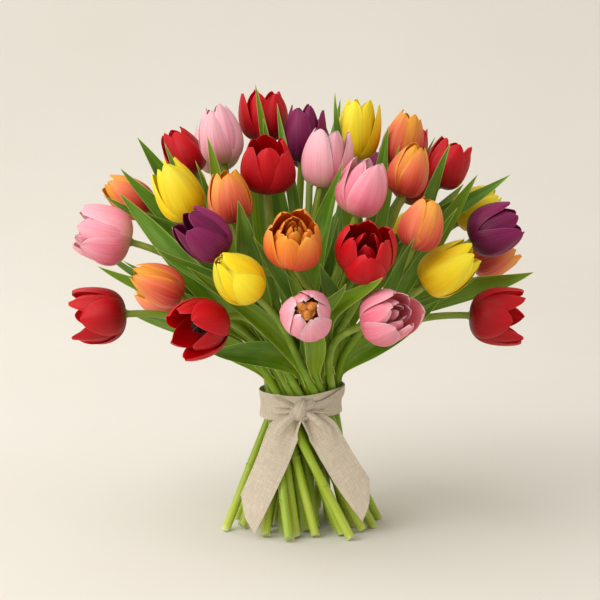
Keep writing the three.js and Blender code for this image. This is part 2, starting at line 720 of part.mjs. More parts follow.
// ---- putting the bunch together ----
// The one outer skin of a body: hollows sealed by fusing are filled.
function whole(body) {
  const skins = body.decompose().sort((a, b) => b.volume() - a.volume());
  return skins[0];
}

function mesh(name, body, material, position = vector(0, 0, 0)) {
  const { vertProperties, triVerts } = body.translate(position.clone().negate().toArray())
    .getMesh();
  const geometry = new THREE.BufferGeometry();
  geometry.setAttribute('position', new THREE.BufferAttribute(vertProperties, 3));
  geometry.setIndex(new THREE.BufferAttribute(triVerts, 1));
  const made = new THREE.Mesh(geometry, new THREE.MeshStandardMaterial(material));
  made.name = name;
  made.position.copy(position);
  return made;
}

function makeBunch() {
  const bunch = new THREE.Group();
  const tulips = tulipList();
  const blooms = tulips.map(bloom);
  const first = firstSlots(tulips);
  const bodies = stemBodies(first);
  const slots = settleSlots(first, bodies);
  const bodyOf = [];
  bodies.forEach((members, body) => members.forEach((i) => { bodyOf[i] = body; }));

  const ribbon = Manifold.union([band(), knot(), tail(LEFT_TAIL), tail(RIGHT_TAIL)]);
  const fixed = blooms.map(obstacle).concat([obstacle(ribbon)]);
  const grown = bodies.map(() => []);
  const others = (body) => grown.flatMap((parts, k) => (k === body ? [] : parts));

  const lines = tulips.map((tulip, i) => {
    const start = straightLine(slots[i], TIE_HEIGHT + STRAIGHT_ABOVE);
    const toBloom = tulip.base.clone().sub(start).normalize();
    const apart = fixed.filter((_, k) => k !== i).concat(others(bodyOf[i]));
    const best = clearest(bows(toBloom, STEM_BOWS),
      (bow, free) => stemSolid(stemLine(tulip, slots[i], bow), free),
      () => apart, () => grown[bodyOf[i]]);
    grown[bodyOf[i]].push(obstacle(best.made));
    return stemLine(tulip, slots[i], best.way);
  });

  const leavesOn = tulips.map(() => 0);
  leafList().forEach((leaf) => {
    const apart = bodies.map((_, body) => fixed.concat(others(body)));
    const best = clearest(leafWays(leaf, lines, leavesOn),
      (way, free) => leafSolid(leaf, way, free),
      (way) => apart[bodyOf[way.stem]], (way) => grown[bodyOf[way.stem]]);
    leavesOn[best.way.stem] += 1;
    grown[bodyOf[best.way.stem]].push(obstacle(best.made));
  });

  tulips.forEach((tulip, i) => {
    const material = { color: PETAL_COLOURS[tulip.colour], roughness: 0.45 };
    bunch.add(mesh(`bloom_${tulip.name}`, blooms[i], material, tulip.base));
  });
  grown.forEach((parts, k) => {
    const body = whole(Manifold.union(parts.map((part) => part.body)));
    bunch.add(mesh(`leafy_stems_${k + 1}`, body, LEAF_GREEN));
  });
  bunch.add(mesh('ribbon', ribbon, LINEN));
  return bunch;
}

export default makeBunch();
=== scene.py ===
# A hand-tied bunch of 42 cut tulips that stands on its own cut stems.
# The solids give every bloom, stem, leaf and ribbon end its place. This script grows the
# fine surface of each from the same dimensions: curved petals with rims and veins, round
# stems with leaf scars, folded leaves, and a woven linen ribbon with its knot.
# Dimensions are millimetres until a mesh is made; +Z up, front towards -Y.

from math import acos, atan2, cos, exp, floor, hypot, pi, radians, sin, sqrt

import bpy
import numpy as np
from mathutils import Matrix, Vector


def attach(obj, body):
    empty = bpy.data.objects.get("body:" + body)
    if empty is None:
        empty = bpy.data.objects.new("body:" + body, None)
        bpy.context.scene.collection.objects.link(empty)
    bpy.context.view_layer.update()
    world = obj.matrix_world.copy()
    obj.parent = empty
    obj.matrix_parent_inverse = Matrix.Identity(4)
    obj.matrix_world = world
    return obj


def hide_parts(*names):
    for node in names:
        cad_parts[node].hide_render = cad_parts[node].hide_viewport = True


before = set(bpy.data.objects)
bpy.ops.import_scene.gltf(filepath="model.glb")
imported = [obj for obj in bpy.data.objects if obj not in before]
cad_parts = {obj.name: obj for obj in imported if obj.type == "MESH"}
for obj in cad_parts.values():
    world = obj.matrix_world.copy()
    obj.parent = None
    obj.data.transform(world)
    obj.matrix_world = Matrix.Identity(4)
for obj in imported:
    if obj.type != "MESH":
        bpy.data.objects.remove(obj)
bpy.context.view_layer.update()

MM = 0.001

# ---- the bunch's driving dimensions, as the solids have them ----
TIE_HEIGHT = 125
TIE_RADIUS = 34.6
SPIRAL = 0.0172                  # sideways slope of a stem per mm from the axis
SPIRAL_TURN = 50
STEM_FOOT, STEM_TIE, STEM_NECK = 4.6, 4.2, 3.4
STEM_SIDES = 6                   # of a solid stem
PRESSED, APART = 7.6, 9.6        # between middles of stems of one body, and of two
CLEAR = 0.3                      # between a stem's end and its bloom's base
STRAIGHT_ABOVE = 24              # how far past the tie stems run straight
LEAF_THICK = 1.4
LEAF_LENGTH = 205
LEAF_LOWEST = 27

# ---- front view: where things stand as seen from the front ----
VIEW = {"focal": 2000, "distance": 2000, "pitch": 8.5, "aim": 230, "axis_u": 301, "middle_v": 300}

# name (its variety first), u, v, y (+ away), width, length, heading, facing, open, turn, and how
# much wider than its solid the mouth stands, as a share of its radius
FRONT_TULIPS = [
    ("red_top", 265, 117, 20, 45, 52, -2, 10, 0.35, 35, 0.22),
    ("purple_top", 303, 135, -10, 40, 57, 3, 10, 0.15, -25, 0.22),
    ("yellow_top", 357, 131, 15, 43, 62, 9, 5, 0.15, -30, 0.3),
    ("orange_top", 402, 141, 5, 39, 56, 20, 5, 0.15, -40, 0.1),
    ("pink_top_left", 219, 136, -15, 44, 58, -10, 5, 0.1, -25, 0.12),
    ("red_upper_left", 184, 153, 25, 40, 50, -25, 5, 0.2, 10, 0.15),
    ("red_middle_upper", 268, 166, -68, 51, 55, 0, 27, 0.5, 60, 0.05),
    ("pink_middle", 325, 159, -70, 48, 57, 9, 8, 0.2, -30, 0.18),
    ("pink_middle_right", 364, 189, -100, 47, 55, 16, 10, 0.2, 15, 0.14),
    ("orange_upper_right", 410, 171, -60, 41, 53, 18, 5, 0.05, 25, 0.12),
    ("red_upper_right", 447, 165, 5, 42, 50, 25, 5, 0.25, 0, 0.3),
    ("yellow_left", 179, 192, -60, 44, 60, -28, 5, 0.15, 15, 0.2),
    ("orange_far_left", 129, 196, 5, 42, 52, -55, 5, 0.1, 10, 0.12),
    ("orange_middle_left", 230, 198, -98, 42, 50, -10, 10, 0.15, 10, 0.12),
    ("pink_far_left", 104, 235, -45, 54, 57, -75, 5, 0.4, -40, 0.16),
    ("purple_left", 204, 236, -143, 46, 54, -50, 20, 0.4, -10, 0),
    ("orange_open", 294, 242, -150, 53, 53, 0, 50, 0.6, 40, 0.16),
    ("red_open_right", 366, 253, -150, 54, 54, 5, 47, 0.6, 0, 0),
    ("orange_right", 422, 225, -105, 41, 50, 22, 10, 0.1, -55, 0.08),
    ("yellow_behind_right", 476, 208, 32, 42, 52, 52, 0, 0.1, 20, 0.1),
    ("purple_right", 495, 231, -25, 48, 55, 65, 5, 0.35, 30, 0.12),
    ("orange_behind_right", 494, 257, 38, 42, 50, 72, 0, 0.1, 0, 0.1),
    ("yellow_right", 449, 269, -85, 46, 62, 55, 5, 0.15, 10, 0.2),
    ("orange_low_left", 158, 285, -100, 38, 54, -63, 10, 0.1, -10, 0.05),
    ("yellow_middle_left", 237, 277, -160, 45, 56, -45, 33, 0.2, 5, -0.2),
    ("red_far_left", 99, 316, -40, 53, 56, -94, 0, 0.4, 0, 0.34),
    ("red_open_left", 200, 326, -140, 53, 54, -110, 42, 0.55, 20, 0.16),
    ("pink_open_middle", 307, 315, -178, 46, 50, 0, 76, 0.4, 30, -0.16),
    ("pink_open_right", 388, 317, -155, 51, 54, 70, 50, 0.6, 30, -0.08),
    ("red_far_right", 497, 317, -42, 53, 57, 93, 0, 0.4, 0, 0.34),
]

# height z, distance from the axis, bearings from straight back, first colour
BACK_ROWS = [
    (376, 124, (-46, 5, 59), 0),
    (342, 158, (-52, -13, 25, 49), 2),
    (282, 180, (-35, 3, 41), 1),
    (222, 179, (-56, 4), 4),
]
COLOURS = ["pink", "red", "yellow", "purple", "orange"]
BACK_WIDTH, BACK_LENGTH = 45, 55
DOME_FOCUS = 165

# tip u, tip v, tip y, width
FRONT_LEAVES = [
    (255, 83, -14, 13), (263, 117, -20, 18), (277, 103, -16, 13), (335, 91, 0, 16),
    (389, 125, -12, 24), (400, 144, -18, 13), (451, 142, -34, 17), (478, 174, -24, 22),
    (511, 174, 0, 22), (468, 191, -5, 12), (458, 207, -50, 15), (534, 272, -20, 30),
    (481, 274, -45, 17), (343, 162, -108, 22), (207, 136, -50, 20), (164, 142, -30, 14),
    (195, 160, -40, 12), (137, 137, -15, 28), (120, 168, -14, 22), (103, 195, -38, 18),
    (119, 193, -42, 26), (97, 266, -70, 20), (122, 260, -72, 14), (155, 247, -88, 24),
    (171, 227, -95, 18), (187, 266, -128, 20), (238, 200, -134, 30), (253, 236, -148, 18),
    (320, 263, -150, 22), (346, 283, -168, 19), (383, 277, -184, 22), (338, 217, -118, 15),
    (415, 237, -132, 15), (207, 350, -112, 28), (300, 215, -92, 22), (285, 262, -118, 22),
    (395, 262, -92, 24), (440, 300, -62, 26), (180, 300, -86, 26),
]
BACK_LEAF_ROWS = [
    (428, 70, (-40, 35), 20),
    (392, 138, (-66, -20, 25, 78), 23),
    (338, 196, (-58, -14, 20, 60), 25),
    (278, 208, (-80, -48, -16, 22, 68), 26),
    (216, 196, (-74, -30, 26), 26),
]


# ---- small helpers ----
def vec(x, y, z):
    return np.array([x, y, z], dtype=float)


FRONT, RIGHT, UP = vec(0, -1, 0), vec(1, 0, 0), vec(0, 0, 1)


def unit(v):
    return v / np.linalg.norm(v)


def square_to(v, axis):
    """The part of v square to the unit vector axis, at unit length."""
    return unit(v - axis * v.dot(axis))


def vary(a, b):
    """A repeatable number between -1 and 1 for a pair of counters."""
    wave = sin(a * 127.1 + b * 311.7 + 17.3) * 4375.85
    return 2 * (wave - floor(wave)) - 1


def smooth(low, high, x):
    """0 up to low and 1 from high on (or the reverse), smoothly between."""
    t = np.clip((x - low) / (high - low), 0, 1)
    return t * t * (3 - 2 * t)


def bezier(p0, p1, p2, p3, t):
    s = 1 - t
    return p0 * s**3 + p1 * 3 * s * s * t + p2 * 3 * s * t * t + p3 * t**3


def turned(v, axis, angle):
    """v turned about the unit vector axis by angle, in radians."""
    return (v * cos(angle) + np.cross(axis, v) * sin(angle)
            + axis * axis.dot(v) * (1 - cos(angle)))


def spoke(across, third, angle):
    """The direction at an angle from across towards third, which are square."""
    return across * cos(angle) + third * sin(angle)


def bowed(p0, p1, p2, p3, bow, t):
    """A Bezier curve, pushed sideways by bow at its middle."""
    return bezier(p0, p1, p2, p3, t) + bow * 16 * t * t * (1 - t) * (1 - t)


def seen(u, v, y):
    """The point at depth y that the front view shows at (u, v)."""
    pitch = radians(VIEW["pitch"])
    rise = (VIEW["middle_v"] - v) / VIEW["focal"]
    eye = vec(0, -VIEW["distance"] * cos(pitch),
              VIEW["aim"] + VIEW["distance"] * sin(pitch))
    ray = vec((u - VIEW["axis_u"]) / VIEW["focal"],
              cos(pitch) + rise * sin(pitch),
              -sin(pitch) + rise * cos(pitch))
    return eye + ray * (y - eye[1]) / ray[1]


def leaning(heading, facing):
    """A unit vector leaning by heading in the front view and by facing to the viewer."""
    pitch = radians(VIEW["pitch"])
    up = vec(0, sin(pitch), cos(pitch))
    away = vec(0, cos(pitch), -sin(pitch))
    flat = cos(radians(facing))
    turn = radians(heading)
    return RIGHT * sin(turn) * flat + up * cos(turn) * flat - away * sin(radians(facing))


def on_dome(height, distance, bearing):
    """A point by its height, distance from the axis and bearing from straight back."""
    return spoke(-FRONT, RIGHT, radians(bearing)) * distance + UP * height


# ---- meshes ----
SHARP_ANGLE = 50                 # degrees between faces from which an edge looks sharp


def placed(name, data, location=(0, 0, 0), rotation=(0, 0, 0)):
    """A new object in the scene."""
    made = bpy.data.objects.new(name, data)
    made.location = location
    made.rotation_euler = rotation
    bpy.context.scene.collection.objects.link(made)
    return made


def aimed(direction):
    """The turn that points a lamp along a direction."""
    return Vector(direction).to_track_quat("-Z", "Y").to_euler()


def stand_in(piece, node):
    """Puts a finished piece in its solid's place."""
    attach(piece, "root")
    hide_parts(node)


class Build:
    """Vertices, faces and surface values of one piece, gathered part by part."""

    def __init__(self):
        self.points, self.faces, self.slots = [], [], []
        self.place, self.rim = [], []
        self.count = 0

    def add(self, points, faces, slot, place, rim):
        """place: across, along, tone. rim: mm to the margin, 1 on the inside, extra."""
        points = np.asarray(points, dtype=float).reshape(-1, 3)
        self.points.append(points)
        self.place.append(np.broadcast_to(place, points.shape))
        self.rim.append(np.broadcast_to(rim, points.shape))
        self.faces.extend(tuple(int(i) + self.count for i in face) for face in faces)
        self.slots.extend([slot] * len(faces))
        self.count += len(points)

    def piece(self, name, materials):
        mesh = bpy.data.meshes.new(name)
        points = np.concatenate(self.points) * MM
        mesh.from_pydata(points.tolist(), [], self.faces)
        for key, values in (("place", self.place), ("rim", self.rim)):
            layer = mesh.attributes.new(key, "FLOAT_VECTOR", "POINT")
            layer.data.foreach_set("vector", np.concatenate(values).astype(np.float32).ravel())
        for material in materials:
            mesh.materials.append(material)
        mesh.polygons.foreach_set("material_index", self.slots)
        mesh.polygons.foreach_set("use_smooth", [True] * len(mesh.polygons))
        mesh.set_sharp_from_angle(angle=radians(SHARP_ANGLE))
        mesh.update()
        return placed(name, mesh)


def grid_normals(grid):
    """Unit normals of a grid of points, rows by columns."""
    down = np.gradient(grid, axis=0)
    across = np.gradient(grid, axis=1)
    normals = np.cross(down, across)
    return normals / np.maximum(np.linalg.norm(normals, axis=2, keepdims=True), 1e-9)


def two_sides(grid, thick, outward):
    """Points and faces of a thin sheet over a grid, still open round its edge, and whether
    its faces have to be turned over. outward is the side that its first face looks to."""
    rows, columns = grid.shape[:2]
    count = rows * columns
    normals = grid_normals(grid)
    if (normals * outward).sum() < 0:
        normals = -normals
    half = normals * np.asarray(thick)[..., None] / 2
    points = np.concatenate([(grid + half).reshape(-1, 3), (grid - half).reshape(-1, 3)])
    faces = []
    for i in range(rows - 1):
        for j in range(columns - 1):
            a = i * columns + j
            b = a + columns
            faces.append((a, a + 1, b + 1, b))
            faces.append((count + a, count + b, count + b + 1, count + a + 1))
    first = np.cross(grid[1, 0] - grid[0, 0], grid[0, 1] - grid[0, 0])
    return points, faces, first.dot(normals[0, 0]) > 0


def places(across, along, tone):
    """The place values of points given by their values across and along."""
    return np.stack([across, along, np.full_like(along, tone)], axis=-1).reshape(-1, 3)


def blade(build, grid, tip, thick, slot, across, along, tone, margin, outward, extra=0.0):
    """A thin closed sheet: a grid of rows up to a single tip point."""
    rows, columns = grid.shape[:2]
    count = rows * columns
    end = 2 * count
    points, faces, turn_over = two_sides(grid, thick, outward)
    for j in range(columns - 1):
        a = (rows - 1) * columns + j
        faces.append((a, a + 1, end))
        faces.append((count + a + 1, count + a, end))
        faces.append((j + 1, j, count + j, count + j + 1))
    for j, flip in ((0, False), (columns - 1, True)):
        for i in range(rows - 1):
            a = i * columns + j
            ring = (a, a + columns, count + a + columns, count + a)
            faces.append(ring[::-1] if flip else ring)
        a = (rows - 1) * columns + j
        faces.append((a, count + a, end) if flip else (count + a, a, end))
    if turn_over:
        faces = [face[::-1] for face in faces]
    place = places(across, along, tone)
    rim = np.zeros((end + 1, 3))
    rim[:end, 0] = np.tile(margin.reshape(-1), 2)
    rim[count:, 1] = 1
    rim[end, 1] = 0.5
    rim[:, 2] = extra
    build.add(np.concatenate([points, [tip]]), faces, slot,
              np.concatenate([place, place, [(0, 1, tone)]]), rim)


def tube(build, line, radii, sides, slot, tone, along=None):
    """A round closed tube through the points of line, with a radius at each."""
    line = np.asarray(line, dtype=float)
    rows = len(line)
    along = np.linspace(0, 1, rows) if along is None else along
    tangents = np.gradient(line, axis=0)
    across = RIGHT if abs(unit(tangents[0])[0]) < 0.9 else -FRONT
    points = []
    for centre, tangent, radius in zip(line, tangents, radii):
        tangent = unit(tangent)
        across = square_to(across, tangent)
        third = np.cross(tangent, across)
        for k in range(sides):
            points.append(centre + spoke(across, third, 2 * pi * k / sides) * radius)
    faces = []
    for row in range(rows - 1):
        for k in range(sides):
            a, b = row * sides + k, row * sides + (k + 1) % sides
            faces.append((a, b, b + sides, a + sides))
    last = (rows - 1) * sides
    faces.append(tuple(range(sides - 1, -1, -1)))
    faces.append(tuple(range(last, last + sides)))
    turn = np.tile(np.arange(sides) / sides, rows)
    build.add(points, faces, slot, places(turn, np.repeat(along, sides), tone), (0, 0, 0))


# ---- materials ----
def colour(code):
    """A hex colour as it is seen, in the linear values that shaders use."""
    parts = [int(code[i:i + 2], 16) / 255 for i in (0, 2, 4)]
    linear = [c / 12.92 if c <= 0.04045 else ((c + 0.055) / 1.055) ** 2.4 for c in parts]
    return (*linear, 1.0)


class Shader:
    """A material whose nodes are added by short calls."""

    def __init__(self, name):
        self.material = bpy.data.materials.new(name)
        self.material.use_nodes = True
        self.tree = self.material.node_tree
        self.surface = self.tree.nodes["Principled BSDF"]

    def add(self, kind, inputs=(), **settings):
        node = self.tree.nodes.new(kind)
        for key, value in settings.items():
            setattr(node, key, value)
        for socket, value in dict(inputs).items():
            self.put(node.inputs[socket], value)
        return node

    def put(self, socket, value):
        if isinstance(value, bpy.types.NodeSocket):
            self.tree.links.new(value, socket)
        else:
            socket.default_value = value

    def attribute(self, name):
        vector = self.add("ShaderNodeAttribute", attribute_name=name).outputs["Vector"]
        return self.add("ShaderNodeSeparateXYZ", {"Vector": vector}).outputs

    def math(self, operation, a, b=0.0, clamp=False):
        node = self.add("ShaderNodeMath", {0: a, 1: b}, operation=operation, use_clamp=clamp)
        return node.outputs[0]

    def times(self, a, b):
        return self.math("MULTIPLY", a, b)

    def plus(self, a, b):
        return self.math("ADD", a, b)

    def ease(self, x, low, high, to_low=0.0, to_high=1.0):
        node = self.add("ShaderNodeMapRange", {
            "Value": x, "From Min": low, "From Max": high, "To Min": to_low, "To Max": to_high,
        }, interpolation_type="SMOOTHSTEP")
        return node.outputs["Result"]

    def vector(self, x, y, z=0.0):
        return self.add("ShaderNodeCombineXYZ", {0: x, 1: y, 2: z}).outputs[0]

    def noise(self, vector, scale=1.0, detail=2.0, rough=0.5):
        node = self.add("ShaderNodeTexNoise", {
            "Vector": vector, "Scale": scale, "Detail": detail, "Roughness": rough,
        })
        return node.outputs["Fac"]

    def streaks(self, place, across, along, detail, rough=0.5, spread=61.0):
        """Noise stretched over a part's own coordinates, and different in each part."""
        spots = self.vector(self.times(place[0], across), self.times(place[1], along),
                            self.times(place[2], spread))
        return self.noise(spots, detail=detail, rough=rough)

    def ramp(self, x, stops):
        """stops: places from 0 to 1 with hex colours, such as "0 204010, 1 ffffff"."""
        node = self.add("ShaderNodeValToRGB", {"Fac": x})
        points = node.color_ramp.elements
        stops = stops.split(", ")
        while len(points) < len(stops):
            points.new(0.5)
        for point, stop in zip(points, stops):
            position, code = stop.split()
            point.position = float(position)
            point.color = colour(code)
        return node.outputs["Color"]

    def mix(self, factor, a, b, blend="MIX"):
        node = self.add("ShaderNodeMix", data_type="RGBA", blend_type=blend, clamp_factor=True)
        self.put(node.inputs[0], factor)
        self.put(node.inputs[6], colour(a) if isinstance(a, str) else a)
        self.put(node.inputs[7], colour(b) if isinstance(b, str) else b)
        return node.outputs[2]

    def darkened(self, base, share):
        return self.mix(1.0, base, self.vector(share, share, share), "MULTIPLY")

    def bump(self, height, distance, strength):
        node = self.add("ShaderNodeBump", {
            "Height": height, "Distance": distance, "Strength": strength,
        })
        self.put(self.surface.inputs["Normal"], node.outputs["Normal"])

    def finish(self, base, **values):
        self.put(self.surface.inputs["Base Color"], base)
        for key, value in values.items():
            self.put(self.surface.inputs[key.replace("_", " ")], value)
        return self.material


# Colours of a variety. out, inner and inside: stops from base to tip for the outer petals, for
# the inner petals and for the insides. edge: colour, width in mm and strength of the zone along
# the margins. rim: the same for the thin margin itself. flame: colour of the middle, strength.
# veil: colour of the lighter veins, strength. kin: the shade that some petals lean to.
VARIETIES = {
    "red": {
        "out": "0 4a0208, 0.16 7c020c, 0.45 b00210, 0.9 c80616",
        "inner": "0 480206, 0.28 84020a, 0.55 b4020e, 1 ce0412",
        "inside": "0 0c0204, 0.22 3c0204, 0.45 b00208, 1 dc0410",
        "edge": ("d40c18", 5.0, 0.4), "rim": ("e84452", 0.9, 0.5),
        "flame": ("900008", 0.6), "veil": ("d41c34", 0.3), "kin": ("b4000e", 0.5),
    },
    "pink": {
        "out": "0 c9b870, 0.1 e8a88c, 0.4 ef7088, 0.95 f89eb0",
        "inner": "0 c9b870, 0.12 e29280, 0.45 ec6c86, 0.95 f592a8",
        "inside": "0 e4b464, 0.25 f67c8c, 0.6 fb94a6, 1 fdc2cc",
        "edge": ("f8b2c0", 6.0, 0.55), "rim": ("fde4e8", 0.9, 0.5),
        "flame": ("e2607e", 0.5), "veil": ("fcd2da", 0.36), "kin": ("fbb8c4", 0.4),
    },
    "pale": {
        "out": "0 b29a58, 0.12 dcb48e, 0.42 f3a2ae, 0.95 fcbcc8",
        "inner": "0 b29a58, 0.12 dca68c, 0.45 f096a6, 0.95 f9aebe",
        "inside": "0 d8a050, 0.25 e08094, 0.6 e88fa8, 1 f6b8ca",
        "edge": ("fcc4ce", 6.0, 0.5), "rim": ("fdf0f2", 0.8, 0.6),
        "flame": ("ec8fa8", 0.4), "veil": ("fdeaf1", 0.45), "kin": ("f4b0c4", 0.4),
    },
    "yellow": {
        "out": "0 b48c08, 0.1 eab404, 0.45 fedb10, 0.95 fff03c",
        "inner": "0 b48c08, 0.15 eaaa04, 0.5 f9cb08, 0.95 fde21c",
        "inside": "0 a87404, 0.3 e6a404, 0.6 f5c808, 1 fde018",
        "edge": ("fee420", 5.0, 0.5), "rim": ("fdf060", 0.9, 0.6),
        "flame": ("f8bc00", 0.3), "veil": ("feee50", 0.4), "kin": ("fcc404", 0.25),
    },
    "purple": {
        "out": "0 280210, 0.14 4c0424, 0.45 720b44, 0.95 8a1858",
        "inner": "0 22020e, 0.14 42041e, 0.45 66073e, 0.95 7c104e",
        "inside": "0 100208, 0.3 300418, 0.6 500732, 1 6c0e44",
        "edge": ("881858", 5.0, 0.4), "rim": ("c06498", 0.8, 0.5),
        "flame": ("50083a", 0.45), "veil": ("ac4c80", 0.32), "kin": ("94286c", 0.4),
    },
    "orange": {
        "out": "0 84500c, 0.09 b43a22, 0.4 e05034, 0.78 f67e48, 1 fea648",
        "inner": "0 84500c, 0.12 cc4414, 0.45 f67820, 0.95 feb030",
        "inside": "0 8a1404, 0.2 cc2a02, 0.55 f05606, 0.9 fc9010",
        "edge": ("fd9c22", 4.0, 1.0), "rim": ("fdc25c", 0.9, 0.7),
        "flame": ("bc2a2a", 0.8), "veil": ("f8a48c", 0.42), "kin": ("f49a7c", 0.4),
    },
}
VARIETIES["flame"] = VARIETIES["orange"] | {
    "out": "0 84500c, 0.1 b4301a, 0.45 e6522a, 0.8 f47e2e, 1 fda040",
    "inner": "0 a82406, 0.2 d84008, 0.5 f06412, 0.95 fd9c2c",
    "inside": "0 a82406, 0.25 d03804, 0.6 ee5c0a, 0.95 fc9020",
    "edge": ("fd9c28", 3.5, 0.9), "flame": ("d23818", 0.6), "kin": ("f07434", 0.3),
}
VARIETIES["blush"] = VARIETIES["pink"] | {
    "out": "0 c9b870, 0.1 e6b094, 0.4 f0809a, 0.95 f9a6b8",
    "inner": "0 c9b870, 0.12 e09a88, 0.45 ee7a94, 0.95 f8a2b4",
    "inside": "0 e8a040, 0.5 ec9848, 0.75 f09a64, 1 f6aab4",
    "edge": ("f9c6d4", 5.0, 0.6), "rim": ("fdf0f0", 0.9, 0.5),
}
VARIETIES["rose"] = VARIETIES["pink"] | {
    "inner": "0 c9b870, 0.12 e28a78, 0.45 ee607a, 0.95 f8869a",
    "inside": "0 e4a464, 0.25 f06a78, 0.6 f88292, 1 fdb6c0",
}


def petal_material(name, look):
    """Petals: lengthwise veins, a flame up the middle, a lighter rim, a darker base."""
    s = Shader(f"petals_{name}")
    across, along, tone = place = s.attribute("place")
    margin, inside, order = s.attribute("rim")
    veins = s.streaks(place, 21.0, 1.4, 3.0, 0.6)
    broad = s.streaks(place, 2.6, 1.5, 2.0)
    shift = s.times(s.plus(broad, -0.5), 0.26)
    height = s.math("ADD", along, shift, clamp=True)
    out = s.mix(order, s.ramp(height, look["out"]), s.ramp(height, look["inner"]))
    code, strength = look["kin"]
    out = s.mix(s.ease(tone, 0.35, 0.95, 0.0, strength), out, code)
    code, strength = look["flame"]
    side = s.math("ABSOLUTE", s.plus(across, shift))
    middle = s.times(s.ease(side, 0.05, 0.8, 1.0, 0.0), s.ease(along, 0.3, 0.95, 1.0, 0.0))
    outermost = s.ease(order, 0.0, 1.0, 1.0, 0.5)
    out = s.mix(s.times(s.times(middle, outermost), strength), out, code)
    code, strength = look["veil"]
    stripes = s.times(s.ease(veins, 0.4, 0.8), s.ease(broad, 0.3, 0.7, 0.4, 1.0))
    out = s.mix(s.times(stripes, strength), out, code)
    face = s.mix(inside, out, s.ramp(height, look["inside"]))
    wander = s.plus(s.plus(veins, broad), -1.0)
    for part in ("edge", "rim"):
        code, width, strength = look[part]
        ragged = s.plus(margin, s.times(wander, width))
        zone = s.times(s.ease(ragged, 0.0, width, strength, 0.0), s.ease(along, 0.15, 0.6))
        face = s.mix(zone, face, code)
    dusk = s.times(s.ease(tone, 0.0, 1.0, 0.84, 1.06), s.ease(veins, 0.25, 0.55, 0.93, 1.0))
    s.bump(s.plus(veins, s.times(broad, 1.5)), 0.0009, 0.4)
    return s.finish(s.darkened(face, dusk), Roughness=0.44, Specular_IOR_Level=0.24,
                    Sheen_Weight=0.05, Sheen_Roughness=0.4, Sheen_Tint=colour(look["veil"][0]),
                    Subsurface_Weight=0.25, Subsurface_Radius=(0.003, 0.0024, 0.0018),
                    Subsurface_Scale=0.6)


def leaf_material():
    """Leaves: parallel veins, a bluish bloom in patches and a thin pale margin."""
    s = Shader("leaf_green")
    _, along, tone = place = s.attribute("place")
    margin = s.attribute("rim")[0]
    veins = s.streaks(place, 15.0, 1.2, 3.0, 0.6)
    patches = s.streaks(place, 2.0, 5.0, 3.0)
    base = s.ramp(along, "0 a8bc1c, 0.22 7a9c10, 0.55 56820e, 0.97 5e8a18")
    young = s.mix(s.ease(tone, 0.45, 1.0, 0.0, 0.6), base, "8ea81a")
    dark = s.mix(s.ease(veins, 0.35, 0.6, 0.5, 0.0), young, "305c06")
    bloom = s.times(s.ease(patches, 0.4, 0.7), s.ease(tone, 0.0, 0.8, 0.5, 0.15))
    waxy = s.mix(bloom, dark, "90ae54")
    light = s.mix(s.ease(margin, 0.0, 0.5, 0.75, 0.0), waxy, "cdd67e")
    s.bump(veins, 0.0005, 0.4)
    rough = s.ease(patches, 0.3, 0.7, 0.38, 0.55)
    return s.finish(light, Roughness=rough, Specular_IOR_Level=0.32,
                    Subsurface_Weight=0.1, Subsurface_Radius=(0.002, 0.004, 0.001),
                    Subsurface_Scale=0.5)


def stem_material():
    """Stems: smooth yellow-green with faint ribs, paler lower down and at the cut."""
    s = Shader("stem_green")
    _, along, tone = place = s.attribute("place")
    cut = s.attribute("rim")[2]
    ribs = s.streaks(place, 22.0, 2.5, 2.0)
    mottle = s.streaks(place, 3.0, 14.0, 3.0)
    base = s.ramp(along, "0 e6eaa6, 0.02 c4d04c, 0.3 98b01c, 0.6 789612, 1 86922a")
    deep = s.mix(s.ease(tone, 0.2, 1.0, 0.0, 0.4), base, "6a981c")
    mottled = s.mix(s.ease(mottle, 0.45, 0.75, 0.0, 0.4), deep, "c0d465")
    ribbed = s.mix(s.ease(ribs, 0.35, 0.6, 0.25, 0.0), mottled, "5a8a18")
    s.bump(ribs, 0.0003, 0.3)
    return s.finish(s.mix(cut, ribbed, "eaeebe"), Roughness=0.38, Specular_IOR_Level=0.4,
                    Subsurface_Weight=0.1, Subsurface_Radius=(0.002, 0.003, 0.001),
                    Subsurface_Scale=0.5)


def linen_material():
    """Linen: a plain weave with slubs and darker flecks. Surface values are in mm."""
    s = Shader("linen_weave")
    across, along, _ = place = s.attribute("place")
    per_mm = 2 * pi / THREAD_PITCH
    weave = s.times(s.math("SINE", s.times(across, per_mm)), s.math("SINE", s.times(along, per_mm)))
    slubs = s.plus(s.streaks(place, 1.1, 0.09, 3.0, spread=1.0),
                   s.streaks(place, 0.09, 1.1, 3.0, spread=1.0))
    fleck = s.streaks(place, 0.75, 0.5, 2.0, 0.7, spread=1.0)
    base = s.mix(s.ease(slubs, 0.7, 1.3), "d6c8b1", "ebe1d0")
    woven = s.mix(s.ease(weave, -1.0, 1.0, 0.0, 0.25), base, "a89278")
    face = s.mix(s.ease(fleck, 0.64, 0.72, 0.0, 0.5), woven, "9c7f60")
    s.bump(s.plus(weave, s.times(slubs, 2.0)), 0.0003, 0.6)
    return s.finish(face, Roughness=0.9, Specular_IOR_Level=0.12, Sheen_Weight=0.1,
                    Sheen_Roughness=0.6)


def pollen_material(name, dark, light):
    """Stamens and pistil: grains of two shades."""
    s = Shader(name)
    _, along, tone = s.attribute("place")
    grain = s.noise(s.vector(s.times(along, 40.0), s.times(tone, 61.0)), detail=3.0)
    s.bump(grain, 0.0004, 0.5)
    return s.finish(s.mix(s.ease(grain, 0.35, 0.65), dark, light), Roughness=0.7)


